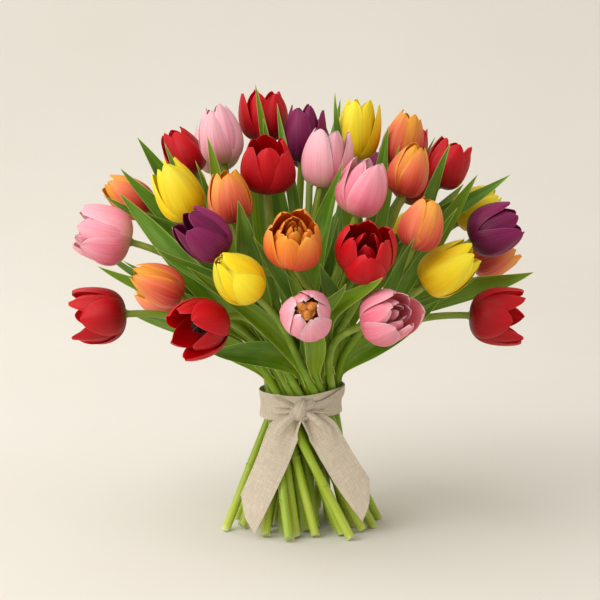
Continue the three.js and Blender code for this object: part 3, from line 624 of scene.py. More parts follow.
def backdrop_material():
    """The pale sweep behind: faint clouds, and painted shade that makes it a little darker to the
    right.
    """
    s = Shader("pale_floor")
    coords = s.add("ShaderNodeTexCoord").outputs["Object"]
    cloud = s.noise(coords, scale=3.0, detail=3.0)
    x = s.add("ShaderNodeSeparateXYZ", {"Vector": coords}).outputs[0]
    pale = s.mix(cloud, "e6e3dd", "e1ddd5")
    # Painted shade: the sweep is darkened a little towards the right, where the light falls off.
    return s.finish(s.darkened(pale, s.ease(x, -0.7, 0.9, 1.0, 0.94)), Roughness=0.9,
                    Specular_IOR_Level=0.2)


# ---- blooms ----
# A whorl of petals: radius and length as shares of the bloom's; reach, the degrees that a petal
# spreads to each side; turn and step in degrees; count; lean outwards; root, the radius of its
# base, and lift, how high that sits, in mm; order, 0 outermost; mouth, in place of its bloom's.
WHORL = {"reach": 60, "step": 120, "count": 3, "lean": 0, "root": 1.5, "lift": 4.6, "order": 1}
WHORLS = [
    WHORL | {"radius": 1, "length": 0.97, "reach": 57, "turn": 0, "lean": 0.012, "root": 4.1,
             "lift": 1.6, "order": 0},
    WHORL | {"radius": 0.875, "length": 1, "reach": 57, "turn": 60, "root": 4.1, "lift": 3.0},
]
WRAP_MOST = 76                   # degrees each side that a petal wraps round at most
PETAL_ROWS, PETAL_COLUMNS = 24, 17
PETAL_THICK = 0.55
CLAW = 0.36                      # where a petal has grown to its full width
MOUTH = 0.1                      # of a bloom on the far side

# How the petals of a variety are cut: point of the tip, how far the edges hug the bloom,
# curl of the rim (+ outward), frill of the rim, groove along the middle.
CUTS = {
    "red": {"point": 0.5, "hug": 0.12, "curl": 0.0, "frill": 0.045, "groove": 0.014},
    "pink": {"point": 0.5, "hug": 0.125, "curl": 0.0, "frill": 0.045, "groove": 0.016},
    "yellow": {"point": 0.5, "hug": 0.125, "curl": 0.0, "frill": 0.035, "groove": 0.02},
    "purple": {"point": 0.45, "hug": 0.125, "curl": 0.02, "frill": 0.04, "groove": 0.016},
    "orange": {"point": 0.5, "hug": 0.13, "curl": 0.0, "frill": 0.035, "groove": 0.024},
}

# What is a bloom's own. cut: how its petals are cut otherwise than its variety's. slim: its
# girth as a share of its solid's, where wide petals close in below the mouth. lean, short: by a
# whorl's turn and a petal's number, how far it stands away and its share of the bloom's length.
# look: the colours it has. stamens: how high they reach as a share of its length, their girth.
OWN = {
    "red_top": {"lean": {(0, 2): 0.08}}, "purple_top": {"lean": {(0, 1): 0.07}},
    "yellow_top": {"lean": {(0, 1): 0.05}}, "pink_top_left": {"look": "pale"},
    "red_middle_upper": {"cut": {"point": 0.2}, "slim": 0.94, "short": {(0, 0): 0.9}},
    "pink_middle": {"lean": {(0, 1): 0.06}, "look": "pale"},
    "red_upper_right": {"lean": {(0, 1): 0.05}}, "orange_far_left": {"slim": 0.92},
    "pink_far_left": {"cut": {"point": 0.4, "frill": 0.09}, "lean": {(0, 2): 0.05},
                      "short": {(0, 0): 0.9}},
    "purple_left": {"slim": 0.93, "lean": {(0, 2): 0.05}, "short": {(0, 0): 0.92}},
    "orange_open": {"cut": {"point": 0.1, "curl": -0.08}, "slim": 0.91, "look": "flame",
                    "short": {(60, 0): 0.93}},
    "red_open_right": {"cut": {"point": 0.3}, "slim": 0.94, "lean": {(0, 1): 0.04},
                       "short": {(0, 0): 0.85}},
    "purple_right": {"lean": {(0, 1): 0.16}}, "yellow_right": {"lean": {(0, 1): 0.05}},
    "yellow_middle_left": {"cut": {"point": 0.25}, "short": {(0, 0): 0.84}},
    "red_far_left": {"slim": 0.95, "lean": {(0, 1): 0.08, (0, 2): 0.05}, "short": {(0, 0): 0.8}},
    "red_open_left": {"slim": 0.95, "lean": {(0, 1): 0.06, (0, 2): 0.04},
                      "short": {(0, 1): 0.92}, "stamens": (0.62, 1.1)},
    "pink_open_middle": {"cut": {"point": 0.3}, "look": "blush", "stamens": (0.9, 2.6)},
    "pink_open_right": {"cut": {"point": 0.3}, "slim": 0.93, "lean": {(0, 1): 0.16},
                        "look": "rose"},
    "red_far_right": {"slim": 0.95, "lean": {(0, 1): 0.05, (0, 2): 0.06}, "short": {(0, 0): 0.76}},
    "pink_back_1_1": {"look": "pale"},
}
PLAIN = {"cut": {}, "slim": 1, "lean": {}, "short": {}, "stamens": (0.42, 1)}

# Blooms with more petals inside than their solids show: their further whorls.
FILLINGS = {
    "orange_open": [
        WHORL | {"radius": 0.74, "length": 0.95, "turn": 20, "mouth": 0},
        WHORL | {"radius": 0.56, "length": 0.97, "reach": 56, "turn": 80, "lift": 4.8,
                 "mouth": -0.1},
        WHORL | {"radius": 0.38, "length": 0.98, "turn": 45, "root": 1.2, "lift": 5.0,
                 "mouth": -0.15},
        WHORL | {"radius": 0.2, "length": 0.95, "reach": 70, "turn": 0, "step": 180, "count": 2,
                 "root": 1.0, "lift": 5.2, "mouth": -0.2},
    ],
    "pink_open_right": [
        WHORL | {"radius": 0.7, "length": 0.95, "reach": 52, "turn": 15, "mouth": -0.2},
        WHORL | {"radius": 0.46, "length": 0.92, "reach": 52, "turn": 70, "root": 1.4,
                 "lift": 4.8, "mouth": -0.35},
    ],
    "red_open_right": [
        WHORL | {"radius": 0.54, "length": 0.95, "reach": 64, "turn": 0, "order": 0,
                 "mouth": -0.45},
    ],
    "yellow_middle_left": [
        WHORL | {"radius": 0.66, "length": 0.97, "reach": 64, "turn": 30, "mouth": -0.5},
    ],
    "pink_far_left": [
        WHORL | {"radius": 0.66, "length": 0.98, "reach": 48, "turn": 20, "lean": 0.01},
    ],
}


def tulip_list():
    """All blooms: their place, size and frame, and what is their own."""
    tulips = []
    for name, u, v, y, width, length, heading, facing, wide, turn, mouth in FRONT_TULIPS:
        axis = leaning(heading, facing)
        tulips.append({"name": name, "centre": seen(u, v, y), "width": width, "length": length,
                       "axis": axis, "face": square_to(FRONT, axis), "open": wide, "turn": turn,
                       "mouth": mouth})
    for row, (height, distance, bearings, first) in enumerate(BACK_ROWS):
        for k, bearing in enumerate(bearings):
            centre = on_dome(height, distance, bearing)
            axis = unit(centre - vec(0, 0, DOME_FOCUS))
            variety = COLOURS[(first + 3 * k) % len(COLOURS)]
            tulips.append({"name": f"{variety}_back_{row + 1}_{k + 1}", "centre": centre,
                           "width": BACK_WIDTH, "length": BACK_LENGTH, "axis": axis,
                           "face": square_to(vec(centre[0], centre[1], 0), axis),
                           "open": 0.2 + 0.12 * vary(row, k), "turn": 60 * vary(k, row + 5),
                           "mouth": MOUTH})
    for index, tulip in enumerate(tulips):
        tulip["index"] = index
        tulip["variety"] = tulip["look"] = tulip["name"].split("_")[0]
        tulip.update(PLAIN | OWN.get(tulip["name"], {}))
        tulip["base"] = tulip["centre"] - tulip["axis"] * tulip["length"] / 2
        tulip["right"] = np.cross(tulip["axis"], tulip["face"])
    return tulips


def in_bloom(tulip, radius, height, bearing):
    """Points by radius, height and bearing (radians) in a bloom's own frame."""
    radius, height, bearing = np.broadcast_arrays(radius, height, bearing)
    return (tulip["base"] + tulip["axis"] * height[..., None]
            + tulip["face"] * (np.cos(bearing) * radius)[..., None]
            + tulip["right"] * (np.sin(bearing) * radius)[..., None])


def petal_profile(whorl, radius, length, wide, mouth, t):
    """Radius and height of a petal's middle line, t from 0 at the base to 1 at the tip.
    A wider mouth than the solid's leaves the bloom as stout as its solid."""
    r = bezier(whorl["root"], 1.32 * radius, (1.2 + 0.22 * wide - 0.4 * max(mouth, 0)) * radius,
               (0.26 + wide + mouth) * radius, t)
    h = bezier(whorl["lift"], 0.02 * length + whorl["lift"], 0.62 * length,
               (1 - 0.15 * wide * wide) * length, t)
    return r, h


def petal_shape(t, point):
    """Share of its full half width that a petal has, at t."""
    claw = 0.34 + 0.66 * np.sin(np.pi / 2 * np.clip(t / CLAW, 0, 1))
    u = np.clip((t - CLAW) / (1 - CLAW), 0, 1)
    return claw * ((1 - point) * np.sqrt(1 - u**2.2) + point * (1 - u**1.8))


def petal(build, tulip, whorl, k, cut):
    """Petal k of a whorl: a cupped blade in the bloom's own frame."""
    key = (whorl["turn"], k)
    number = tulip["index"] * 9 + whorl["turn"] + k
    middle = radians(tulip["turn"] + whorl["turn"] + whorl["step"] * k)
    lean = whorl["lean"] + 0.012 * vary(number, 1)
    away = tulip["lean"].get(key, 0)
    length = tulip["length"] * whorl["length"] * (1 + 0.035 * vary(number, 2))
    length *= tulip["short"].get(key, 1)
    radius = tulip["width"] / 2 * whorl["radius"] * tulip["slim"]
    wide, mouth = tulip["open"], whorl.get("mouth", tulip["mouth"])
    steps = 1 - (1 - np.linspace(0, 1, PETAL_ROWS + 1)[:-1]) ** 1.6
    t, s = np.meshgrid(steps, np.linspace(-1, 1, PETAL_COLUMNS), indexing="ij")
    r, h = petal_profile(whorl, radius, length, wide, mouth, t)
    point = np.clip(cut["point"] * (1 + 0.4 * vary(number, 7)), 0, 1)
    half_width = radius * radians(whorl["reach"]) * petal_shape(t, point)
    reach = np.minimum(half_width / np.maximum(r, 1), radians(WRAP_MOST))
    curl = cut["curl"] + 0.08 * vary(number, 4)
    hug = cut["hug"] * (1 + 0.5 * wide * t)
    r = r * (1 - hug * s**2 * smooth(0, 0.25, t)) + (lean + away * h / length) * h
    r = r + radius * (petal_relief(cut, number, s, t) + curl * t**6)
    h = h + length * 0.025 * vary(number, 9) * s * t**3
    sway = radians(7) * vary(number, 5)
    grid = in_bloom(tulip, r, h, middle + s * reach + sway * t**2)
    tip_r, tip_h = petal_profile(whorl, radius, length, wide, mouth, 1.0)
    tip_r = tip_r + (lean + away) * tip_h + radius * (curl + 0.01)
    tip = in_bloom(tulip, tip_r, tip_h + 0.012 * length * point, middle + sway)
    margin = np.minimum((1 - np.abs(s)) * half_width, (1 - t) * length)
    thick = PETAL_THICK * (1 - 0.6 * np.abs(s) ** 4) * (1 - 0.4 * t**4)
    outward = grid - (tulip["base"] + tulip["axis"] * (h[..., None] * 0.8))
    tone = 0.5 + 0.5 * vary(number, 6)
    blade(build, grid, tip, thick, 0, s, t, tone, margin, outward, whorl["order"])


def petal_relief(cut, number, s, t):
    """Creases, keel, frill and lifted edges of a petal, as shares of its radius."""
    phase = 3 * vary(number, 3)
    over = 0.02 * s * smooth(0.2, 0.7, t)
    crease = 0.03 * np.sin(2.2 * s + phase + 2 * t) + 0.014 * np.sin(6 * s - 2 * phase + 3 * t)
    keel = cut["groove"] * (1.6 * np.exp(-(s / 0.25) ** 2) - 2.2 * np.exp(-(s / 0.06) ** 2))
    frill = cut["frill"] * np.sin(7 * s + 5 * phase) * smooth(0.55, 1, t) * np.abs(s)
    lift = 0.03 * np.abs(s) ** 6 * smooth(0.25, 0.6, t) * (1 + vary(number, 8))
    return over + (crease + keel) * np.sin(np.pi * t) + frill + lift


def receptacle(build, tulip):
    """The green swelling under the petals, on which the stem ends."""
    heights = (-0.3, 0.4, 2.0, 4.2, 6.0)
    radii = (3.5, 4.0, 4.6, 4.6, 2.6)
    line = [tulip["base"] + tulip["axis"] * h for h in heights]
    tube(build, line, radii, 16, 1, 0.3, along=np.full(len(heights), 0.9))


def stamens(build, tulip, share, girth):
    """The pistil with its three-lobed stigma, and six stamens round it."""
    top = share * tulip["length"]
    axis = tulip["axis"]
    heights = np.array([5.0, 0.35 * top, 0.75 * top, 0.95 * top, top])
    line = [tulip["base"] + axis * h for h in heights]
    tube(build, line, np.array([2.2, 2.9, 2.6, 3.1, 1.4]) * girth, 12, 2, 0.4)
    for k in range(3):
        out = in_bloom(tulip, np.array([0.6, 2.4, 3.8]) * girth,
                       top + np.array([-1.0, 0.8, 0.2]), 2 * pi * k / 3)
        tube(build, out, np.array([1.2, 1.5, 0.8]) * girth, 8, 2, 0.6)
    for k in range(6):
        bearing = 2 * pi * (k + 0.5) / 6
        sway = 1 + 0.2 * vary(tulip["index"], k + 40)
        r = np.array([2.0, 4.6, 5.4, 6.2, 6.8, 7.0]) * sway
        h = np.array([5.0 / top, 0.35, 0.5, 0.56, 0.8, 0.92]) * top
        line = in_bloom(tulip, r, h, bearing)
        tube(build, line[:3], (0.8, 0.7, 0.6), 7, 2, 0.5)
        tube(build, line[2:], np.array([0.7, 1.5, 1.5, 0.6]) * girth, 9, 2,
             0.5 + 0.4 * vary(k, 3))


def bloom(tulip, materials):
    """One finished bloom, in the place of its solid."""
    build = Build()
    name, variety = tulip["name"], tulip["variety"]
    cut = CUTS[variety] | tulip["cut"]
    for whorl in WHORLS + FILLINGS.get(name, []):
        for k in range(whorl["count"]):
            petal(build, tulip, whorl, k, cut)
    receptacle(build, tulip)
    if name not in FILLINGS:
        stamens(build, tulip, *tulip["stamens"])
    # Other varieties get dark anthers in their own colour, and a pistil painted dark as painted
    # shade in the throat.
    heart = "anther_gold" if variety == "pink" else "dark_anthers_shaded_pistil"
    wanted = [materials[key] for key in (tulip["look"], "stem", heart)]
    piece = build.piece(f"tulip_{name}", wanted)
    stand_in(piece, f"bloom_{name}")


# ---- where the stems cross the tie ----
def first_slots(tulips):
    """Where each stem would cross the tie: turned on from its bloom, the steepest inmost."""
    outs = [tulip["base"] - UP * TIE_HEIGHT for tulip in tulips]
    lean = [acos(out[2] / np.linalg.norm(out)) for out in outs]
    slots = [None] * len(tulips)
    for rank, i in enumerate(sorted(range(len(tulips)), key=lambda i: lean[i])):
        x, y, _ = tulips[i]["base"]
        radius = TIE_RADIUS * sqrt((rank + 0.5) / len(tulips))
        angle = atan2(y, x) + radians(SPIRAL_TURN)
        slots[i] = [radius * cos(angle), radius * sin(angle)]
    return slots


STEM_ROWS = [[3, 3, 3], [3, 3, 3, 3], [3, 3, 3, 3], [3, 3, 3]]


def stem_bodies(slots):
    """Bodies of three neighbouring stems: rows from front to back, cut along x."""
    by_depth = sorted(range(len(slots)), key=lambda i: slots[i][1])
    bodies = []
    for sizes in STEM_ROWS:
        row = sorted(by_depth[:sum(sizes)], key=lambda i: slots[i][0])
        by_depth = by_depth[sum(sizes):]
        for size in sizes:
            bodies.append(row[:size])
            row = row[size:]
    return bodies


def stem_distance(a, b):
    """How far apart two slanted stems run, from where they cross the tie."""
    x, y = b[0] - a[0], b[1] - a[1]
    slope_x, slope_y = SPIRAL * (a[1] + b[1]) / 2, -SPIRAL * (a[0] + b[0]) / 2
    along = (x * slope_x + y * slope_y) / sqrt(slope_x**2 + slope_y**2 + 1)
    return sqrt(max(x * x + y * y - along * along, 1e-6))


SETTLING_ROUNDS = 900


def settle_slots(slots, bodies):
    """Pressing by the ribbon: stems of one body touch, all others stay just apart."""
    body_of = {i: body for body, members in enumerate(bodies) for i in members}
    settled = [list(slot) for slot in slots]
    count = len(settled)
    for _ in range(SETTLING_ROUNDS):
        for i in range(count):
            for j in range(i + 1, count):
                same = body_of[i] == body_of[j]
                members = bodies[body_of[i]]
                beside = same and abs(members.index(i) - members.index(j)) == 1
                wanted = PRESSED if same else APART
                gap = stem_distance(settled[i], settled[j])
                if gap < wanted or beside:
                    share = 0.25 * (wanted - gap) / gap
                    for axis in (0, 1):
                        push = share * (settled[j][axis] - settled[i][axis])
                        settled[i][axis] -= push
                        settled[j][axis] += push
            far = hypot(*settled[i])
            if far > TIE_RADIUS:
                settled[i] = [value * TIE_RADIUS / far for value in settled[i]]
    return settled


# ---- stems ----
AHEAD = 0.02                     # how far on a curve's next point is taken for its direction


def straight_line(slot, z):
    """The point at height z of a stem's straight lower part."""
    x, y = slot
    rise = SPIRAL * (z - TIE_HEIGHT)
    return vec(x + y * rise, y - x * rise, z)


def stem_line(tulip, slot, bow):
    """Centre line of a stem from its foot to its bloom, bowed sideways by bow."""
    foot = straight_line(slot, 0)
    start = straight_line(slot, TIE_HEIGHT + STRAIGHT_ABOVE)
    leave = unit(start - foot)
    end = tulip["base"] - tulip["axis"] * CLEAR
    span = np.linalg.norm(end - start)
    p1 = start + leave * 0.4 * span
    p2 = end - tulip["axis"] * 0.34 * span

    def curve(t):
        return bowed(start, p1, p2, end, bow, t)

    return {"foot": foot, "start": start, "curve": curve, "span": span, "axis": tulip["axis"]}


def bows(along, sizes):
    """Sideways bows to try, from none to the widest, round the direction of travel."""
    across = square_to(np.cross(UP, along), along)
    third = np.cross(along, across)
    found = [vec(0, 0, 0)]
    for size in sizes:
        found += [spoke(across, third, pi * k / 4) * size for k in range(8)]
    return found


STEM_BOWS = (6, 12, 18, 26, 34)
STEM_CURVE_STEPS = 4
SAME_CORNER = 0.03               # mm within which two corners are the same


def solid_stem_corners(line):
    """Corners of the solid stem above the tie, by which its bow is recognised."""
    points = [line["foot"], line["start"]]
    points += [line["curve"](k / STEM_CURVE_STEPS) for k in range(1, STEM_CURVE_STEPS + 1)]
    whole = 2 * pi / STEM_SIDES
    widen = sqrt(whole / sin(whole))
    across = RIGHT
    corners = []
    for i, point in enumerate(points):
        last = i == len(points) - 1
        along = line["axis"] if last else unit(points[i + 1] - points[max(i - 1, 0)])
        across = square_to(across, along)
        third = np.cross(along, across)
        radius = STEM_TIE + (STEM_NECK - STEM_TIE) * max(i - 1, 0) / STEM_CURVE_STEPS
        if i > 1:
            corners += [point + spoke(across, third, k * whole) * radius * widen
                        for k in range(STEM_SIDES)]
    return np.array(corners)


def matched(corners, solid):
    """How many of the corners are corners of the solid, whose points are in mm."""
    gaps = np.abs(corners[:, None, :] - solid[None, :, :]).max(axis=2).min(axis=1)
    return int((gaps < SAME_CORNER).sum())


def node_points(name):
    """The corners of a solid, in mm, each once."""
    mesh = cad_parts[name].data
    points = np.empty(len(mesh.vertices) * 3, dtype=np.float32)
    mesh.vertices.foreach_get("co", points)
    return np.unique(points.reshape(-1, 3).astype(float).round(7), axis=0) / MM


def recognised_line(tulip, slot, solid):
    """The line, with the bow that the solid stem has, told by its corners."""
    start = straight_line(slot, TIE_HEIGHT + STRAIGHT_ABOVE)
    lines = [stem_line(tulip, slot, bow) for bow in bows(unit(tulip["base"] - start), STEM_BOWS)]
    return max(lines, key=lambda line: matched(solid_stem_corners(line), solid))


STEM_ROUND = 14                  # sides of a finished stem
STEM_STATIONS = (0, 0.02, 0.06, 0.12, 0.2, 0.28, 0.36, 0.44, 0.52, 0.6, 0.68, 0.76, 0.84, 0.92, 1)
SCAR_LOW, SCAR_SPAN = 38, 44      # where a leaf was stripped off, mm from the foot


def foot_cut(ring, index):
    """Slants the cut end: its lowest point stays on the floor."""
    tilt = 0.25 + 0.3 * abs(vary(index, 11))
    turn = 2 * pi * vary(index, 12)
    lean = vec(cos(turn), sin(turn), 0)
    ring[:, 2] += tilt * (ring - ring.mean(axis=0)).dot(lean)
    ring[:, 2] -= ring[:, 2].min()


def stem(build, line, index):
    """A round stem with a torn ring where a leaf was, a slight swelling there, and a cut."""
    length = np.linalg.norm(line["start"] - line["foot"])
    low = [line["foot"] + (line["start"] - line["foot"]) * f for f in STEM_STATIONS]
    high = [line["curve"](t) for t in np.linspace(0, 1, 26)[1:]]
    points = np.array(low + high)
    distance = np.concatenate([[0], np.cumsum(np.linalg.norm(np.diff(points, axis=0), axis=1))])
    share = distance / distance[-1]
    radii = np.interp(distance, [0, length, distance[-1]], [STEM_FOOT, STEM_TIE, STEM_NECK])
    scar = SCAR_LOW + SCAR_SPAN * (0.5 + 0.5 * vary(index, 7))
    radii = radii * (1 + 0.05 * np.exp(-((distance - scar) / 9) ** 2))
    radii = radii * (1 + 0.02 * np.sin(distance / 17 + index))
    tube(build, points, radii, STEM_ROUND, 1, 0.5 + 0.5 * vary(index, 8), along=share)
    ring = build.points[-1][:STEM_ROUND]
    foot_cut(ring, index)
    collar(build, line, scar, index)
    foot_face(build, ring)


def collar(build, line, scar, index):
    """What is left of a stripped leaf: a low torn ring round part of the stem."""
    along = unit(line["start"] - line["foot"])
    centre = line["foot"] + along * scar
    across = square_to(vec(cos(index), sin(index), 0), along)
    third = np.cross(along, across)
    columns = 15
    angles = np.linspace(-1, 1, columns) * radians(95 + 30 * vary(index, 9))
    grid = []
    for row in range(3):
        ring = []
        for j, angle in enumerate(angles):
            torn = 0.7 + 0.3 * vary(index * 20 + j, 10)
            up = (row / 2) * 3.2 * torn * cos(angle / 2.6)
            out = STEM_FOOT * 1.01 + 0.45 * (row / 2) ** 2 - 0.25 * (angle / 2) ** 2 * (row == 2)
            ring.append(centre + spoke(across, third, angle) * out + along * up)
        grid.append(ring)
    grid = np.array(grid)
    tip = grid[-1].mean(axis=0) * 0.2 + grid[-1, columns // 2] * 0.8 + along * 0.6
    side, up = np.meshgrid(np.linspace(-1, 1, columns), [0.0, 0.5, 0.9])
    blade(build, grid, tip, np.full(grid.shape[:2], 0.5), 1, side * 0.2, up * 0.3, 0.9,
          np.full(grid.shape[:2], 2.0), grid - centre)


def foot_face(build, ring):
    """The pale pith of the cut end, a shallow dish set in the foot."""
    centre = ring.mean(axis=0)
    lift = UP * 0.25
    outer = centre + (ring - centre) * 0.97 - lift * 0.2
    inner = centre + (ring - centre) * 0.8
    points = np.concatenate([outer, inner, [centre + lift]])
    points[:, 2] = np.maximum(points[:, 2], 0.02)
    count = len(ring)
    faces = []
    for k, n in enumerate([*range(1, count), 0]):
        faces += [(k, count + k, count + n, n), (count + k, 2 * count, count + n)]
    build.add(points, faces, 1, (0.3, 0.05, 0.2), (0, 0, 1))


# ---- leaves ----
LEAF_RINGS = (0.82, 0.56)        # rings of a solid leaf by whose corners it's recognised
RING_CORNERS = 4
LEAF_FOLD = 24                   # degrees
LEAF_ROLLS = (0, 22, -22, 44, -44)
LEAF_BOWS = (9, 18, 28)
LEAF_ROWS, LEAF_COLUMNS = 30, 11


def leaf_list():
    """All leaves: their tip, width and the side that their upper face looks to."""
    leaves = [{"tip": seen(u, v, y), "width": width, "face": FRONT}
              for u, v, y, width in FRONT_LEAVES]
    for height, distance, bearings, width in BACK_LEAF_ROWS:
        for bearing in bearings:
            tip = on_dome(height, distance, bearing)
            leaves.append({"tip": tip, "width": width, "face": unit(vec(tip[0], tip[1], 0))})
    for index, leaf in enumerate(leaves):
        leaf["index"] = index
    return leaves


def leaf_half_width(width, t):
    """Half the width of a leaf at t, from its base to its tip."""
    widest = 0.42
    if t < widest:
        return width / 2 * (0.22 + 0.78 * sin(pi / 2 * t / widest))
    return width / 2 * (1 - ((t - widest) / (1 - widest)) ** 2)


def stem_station(line, past):
    """A place on a stem, as distance past the tie: its point and direction there."""
    if past <= STRAIGHT_ABOVE:
        along = unit(line["start"] - line["foot"])
        rise = (STRAIGHT_ABOVE - past) / along[2]
        return line["start"] - along * rise, along
    t = min(max((past - STRAIGHT_ABOVE) / line["span"], 0), 0.9)
    point = line["curve"](t)
    return point, unit(line["curve"](t + AHEAD) - point)


def leaf_way(leaf, root, along, bow, roll):
    """How a leaf grows: its curve and its frame at t."""
    span = np.linalg.norm(leaf["tip"] - root)
    to_tip = (leaf["tip"] - root) / span
    p1 = root + along * 0.36 * span
    p2 = leaf["tip"] - to_tip * 0.3 * span

    def curve(t):
        return bowed(root, p1, p2, leaf["tip"], bow, t)

    def axes(t):
        centre = curve(t)
        tangent = unit(curve(t + AHEAD) - centre)
        face = turned(square_to(leaf["face"], tangent), tangent, radians(roll) * t)
        return centre, tangent, face, np.cross(tangent, face)

    return {"axes": axes, "span": span}


def solid_leaf_corners(leaf, way, t):
    """The corners of a ring of the solid leaf, at t."""
    centre, _, face, right = way["axes"](t)
    half = leaf_half_width(leaf["width"], t)
    fold = radians(LEAF_FOLD)
    thick = LEAF_THICK * (1 - 0.4 * t) / 2
    up = face * half * sin(fold)
    return np.array([centre - right * half * cos(fold) + up, centre + face * thick,
                     centre + right * half * cos(fold) + up, centre - face * thick])


def recognised_way(leaf, lines, bodies, solids):
    """The way that the solid of this leaf was grown, told by its corners."""
    tip = leaf["tip"][None, :]
    homes = [k for k, solid in enumerate(solids) if matched(tip, solid)]
    past = max(LEAF_LOWEST, np.linalg.norm(leaf["tip"] - UP * TIE_HEIGHT) - LEAF_LENGTH)
    best = (0, None, None)
    for home in homes:
        for stem_index in bodies[home]:
            root, along = stem_station(lines[stem_index], past)
            for bow in bows(unit(leaf["tip"] - root), LEAF_BOWS):
                for roll in LEAF_ROLLS:
                    way = leaf_way(leaf, root, along, bow, roll)
                    score = matched(solid_leaf_corners(leaf, way, LEAF_RINGS[0]), solids[home])
                    if score < RING_CORNERS / 2:
                        continue
                    score += matched(solid_leaf_corners(leaf, way, LEAF_RINGS[1]), solids[home])
                    if score > best[0]:
                        best = (score, way, home)
                if best[0] >= 2 * RING_CORNERS:
                    return best
    return best


def leaf_blade(build, leaf, way):
    """A leaf: keeled, its edges a little waved, its base closing round the stem."""
    index = leaf["index"]
    steps = 1 - (1 - np.linspace(0, 1, LEAF_ROWS + 1)[:-1]) ** 1.25
    sides = np.linspace(-1, 1, LEAF_COLUMNS)
    fold = radians(LEAF_FOLD)
    phase = 3 * vary(index, 21)
    grid, widths = [], []
    for t in steps:
        centre, _, face, right = way["axes"](t)
        half = leaf_half_width(leaf["width"], t)
        half = max(half, (STEM_TIE + 1.6) * (1 - smooth(0.0, 0.16, t)))
        wave = 0.05 * leaf["width"] * sin(13 * t + phase) * smooth(0.1, 0.4, t) * (1 - t)
        clasp = 1 - smooth(0.0, 0.12, t)
        row = []
        for s in sides:
            keel = abs(s) ** 1.5
            up = half * sin(fold) * keel + wave * s * abs(s)
            wrap = half * clasp * (0.9 * s * s) - clasp * STEM_TIE * 0.9
            row.append(centre + right * half * cos(fold) * s + face * (up + wrap))
        grid.append(row)
        widths.append(half)
    grid = np.array(grid)
    s, t = np.meshgrid(sides, steps)
    margin = np.minimum((1 - np.abs(s)) * np.array(widths)[:, None], (1 - t) * way["span"])
    thick = (LEAF_THICK * 0.62) * (1 - 0.5 * t) * (1 - 0.5 * s**2)
    outward = way["axes"](0.5)[2]
    blade(build, grid, leaf["tip"], thick, 0, s, t, 0.5 + 0.5 * vary(index, 22), margin, outward)


# ---- ribbon ----
BAND_INSIDE = 40                 # radius of the band
CLOTH_WIDTH = 32                 # of the cloth as modelled, a little less than its solid's
CLOTH_THICK = 0.6
THREAD_PITCH = 1.1
TAIL_FACING = 0.45               # how far a tail turns with its bearing
TAIL_SLANT = 14                  # of the cut end

# Tails: bearing from the front in degrees, height, and distance out from the stems.
LEFT_TAIL = [(-3, 124, 2), (-14, 114, 5), (-23, 102, 5), (-31, 78, 4), (-37, 52, 5), (-42, 24, 6)]
RIGHT_TAIL = [(4, 124, 2), (16, 115, 5), (29, 102, 5), (39, 82, 7), (47, 58, 10), (54, 35, 13)]


def bundle_radius(z):
    """How far out the bundle of straight stems reaches at a height."""
    return hypot(1, SPIRAL * (z - TIE_HEIGHT)) * TIE_RADIUS + 5


def sheet(build, grid, across, along, tone, outward):
    """A closed thin sheet of cloth over a grid of points, with straight ends."""
    rows, columns = grid.shape[:2]
    count = rows * columns
    points, faces, turn_over = two_sides(grid, CLOTH_THICK, outward)
    edge = [*range(columns), *range(2 * columns - 1, count, columns)]
    edge += [*range(count - 2, count - columns - 1, -1)]
    edge += [*range(count - 2 * columns, 0, -columns)]
    for a, b in zip(edge, edge[1:] + edge[:1]):
        faces.append((b, a, count + a, count + b))
    if turn_over:
        faces = [face[::-1] for face in faces]
    place = places(across, along, tone)
    build.add(points, faces, 0, np.concatenate([place, place]), (1, 0, 0))


def round_the_tie(bearing, z, lift):
    """A point by its bearing from the front (radians, + right), height and lift."""
    radius = BAND_INSIDE + bundle_radius(z) - bundle_radius(TIE_HEIGHT) + lift
    return spoke(FRONT, RIGHT, bearing) * radius + UP * z


BAND_LOW, BAND_HIGH = 115.6, 142.6
STRIP_LOW, STRIP_HIGH = 125.5, 133.0     # edges of the crossing strip where it meets the knot


def band_edges(bearing):
    """Heights of the ribbon's lower and upper edge round the stems: it dips to the knot."""
    front = exp(-(bearing / 0.55) ** 2)
    right = sin(min(max(bearing, -pi / 2), pi / 2))
    low = BAND_LOW + 1.6 * front + 2.6 * right + 0.5 * sin(3 * bearing)
    return low, BAND_HIGH - 2.2 * front + 2.6 * right


# Folds that run out from the knot: side, direction in degrees, length in mm and depth.
BAND_FOLDS = (
    (-1, 26, 40, 5.0), (-1, -3, 36, 5.2), (-1, -28, 24, 3.4), (1, -4, 32, 5.0), (1, -26, 26, 4.2),
)
KNOT_CENTRE = (1.0, 127.5)       # distance round the front, and height


def fold_relief(x, z):
    """How far the band stands out or in, for the folds that the knot draws in it."""
    relief = 0.0
    for side, direction, length, depth in BAND_FOLDS:
        angle = radians(direction)
        dx, dz = side * (x - KNOT_CENTRE[0]), z - KNOT_CENTRE[1]
        along = dx * cos(angle) + dz * sin(angle)
        away = dz * cos(angle) - dx * sin(angle)
        if along <= 0:
            continue
        fade = 1 - smooth(0.45 * length, length, along)
        near = smooth(0, 6, along)
        width = 0.65 + 0.035 * along
        relief -= 0.6 * depth * fade * near * exp(-(away / width) ** 2)
        relief += 0.75 * depth * fade * near * exp(-((away + 2.2 * width) / (1.5 * width)) ** 2)
    return relief


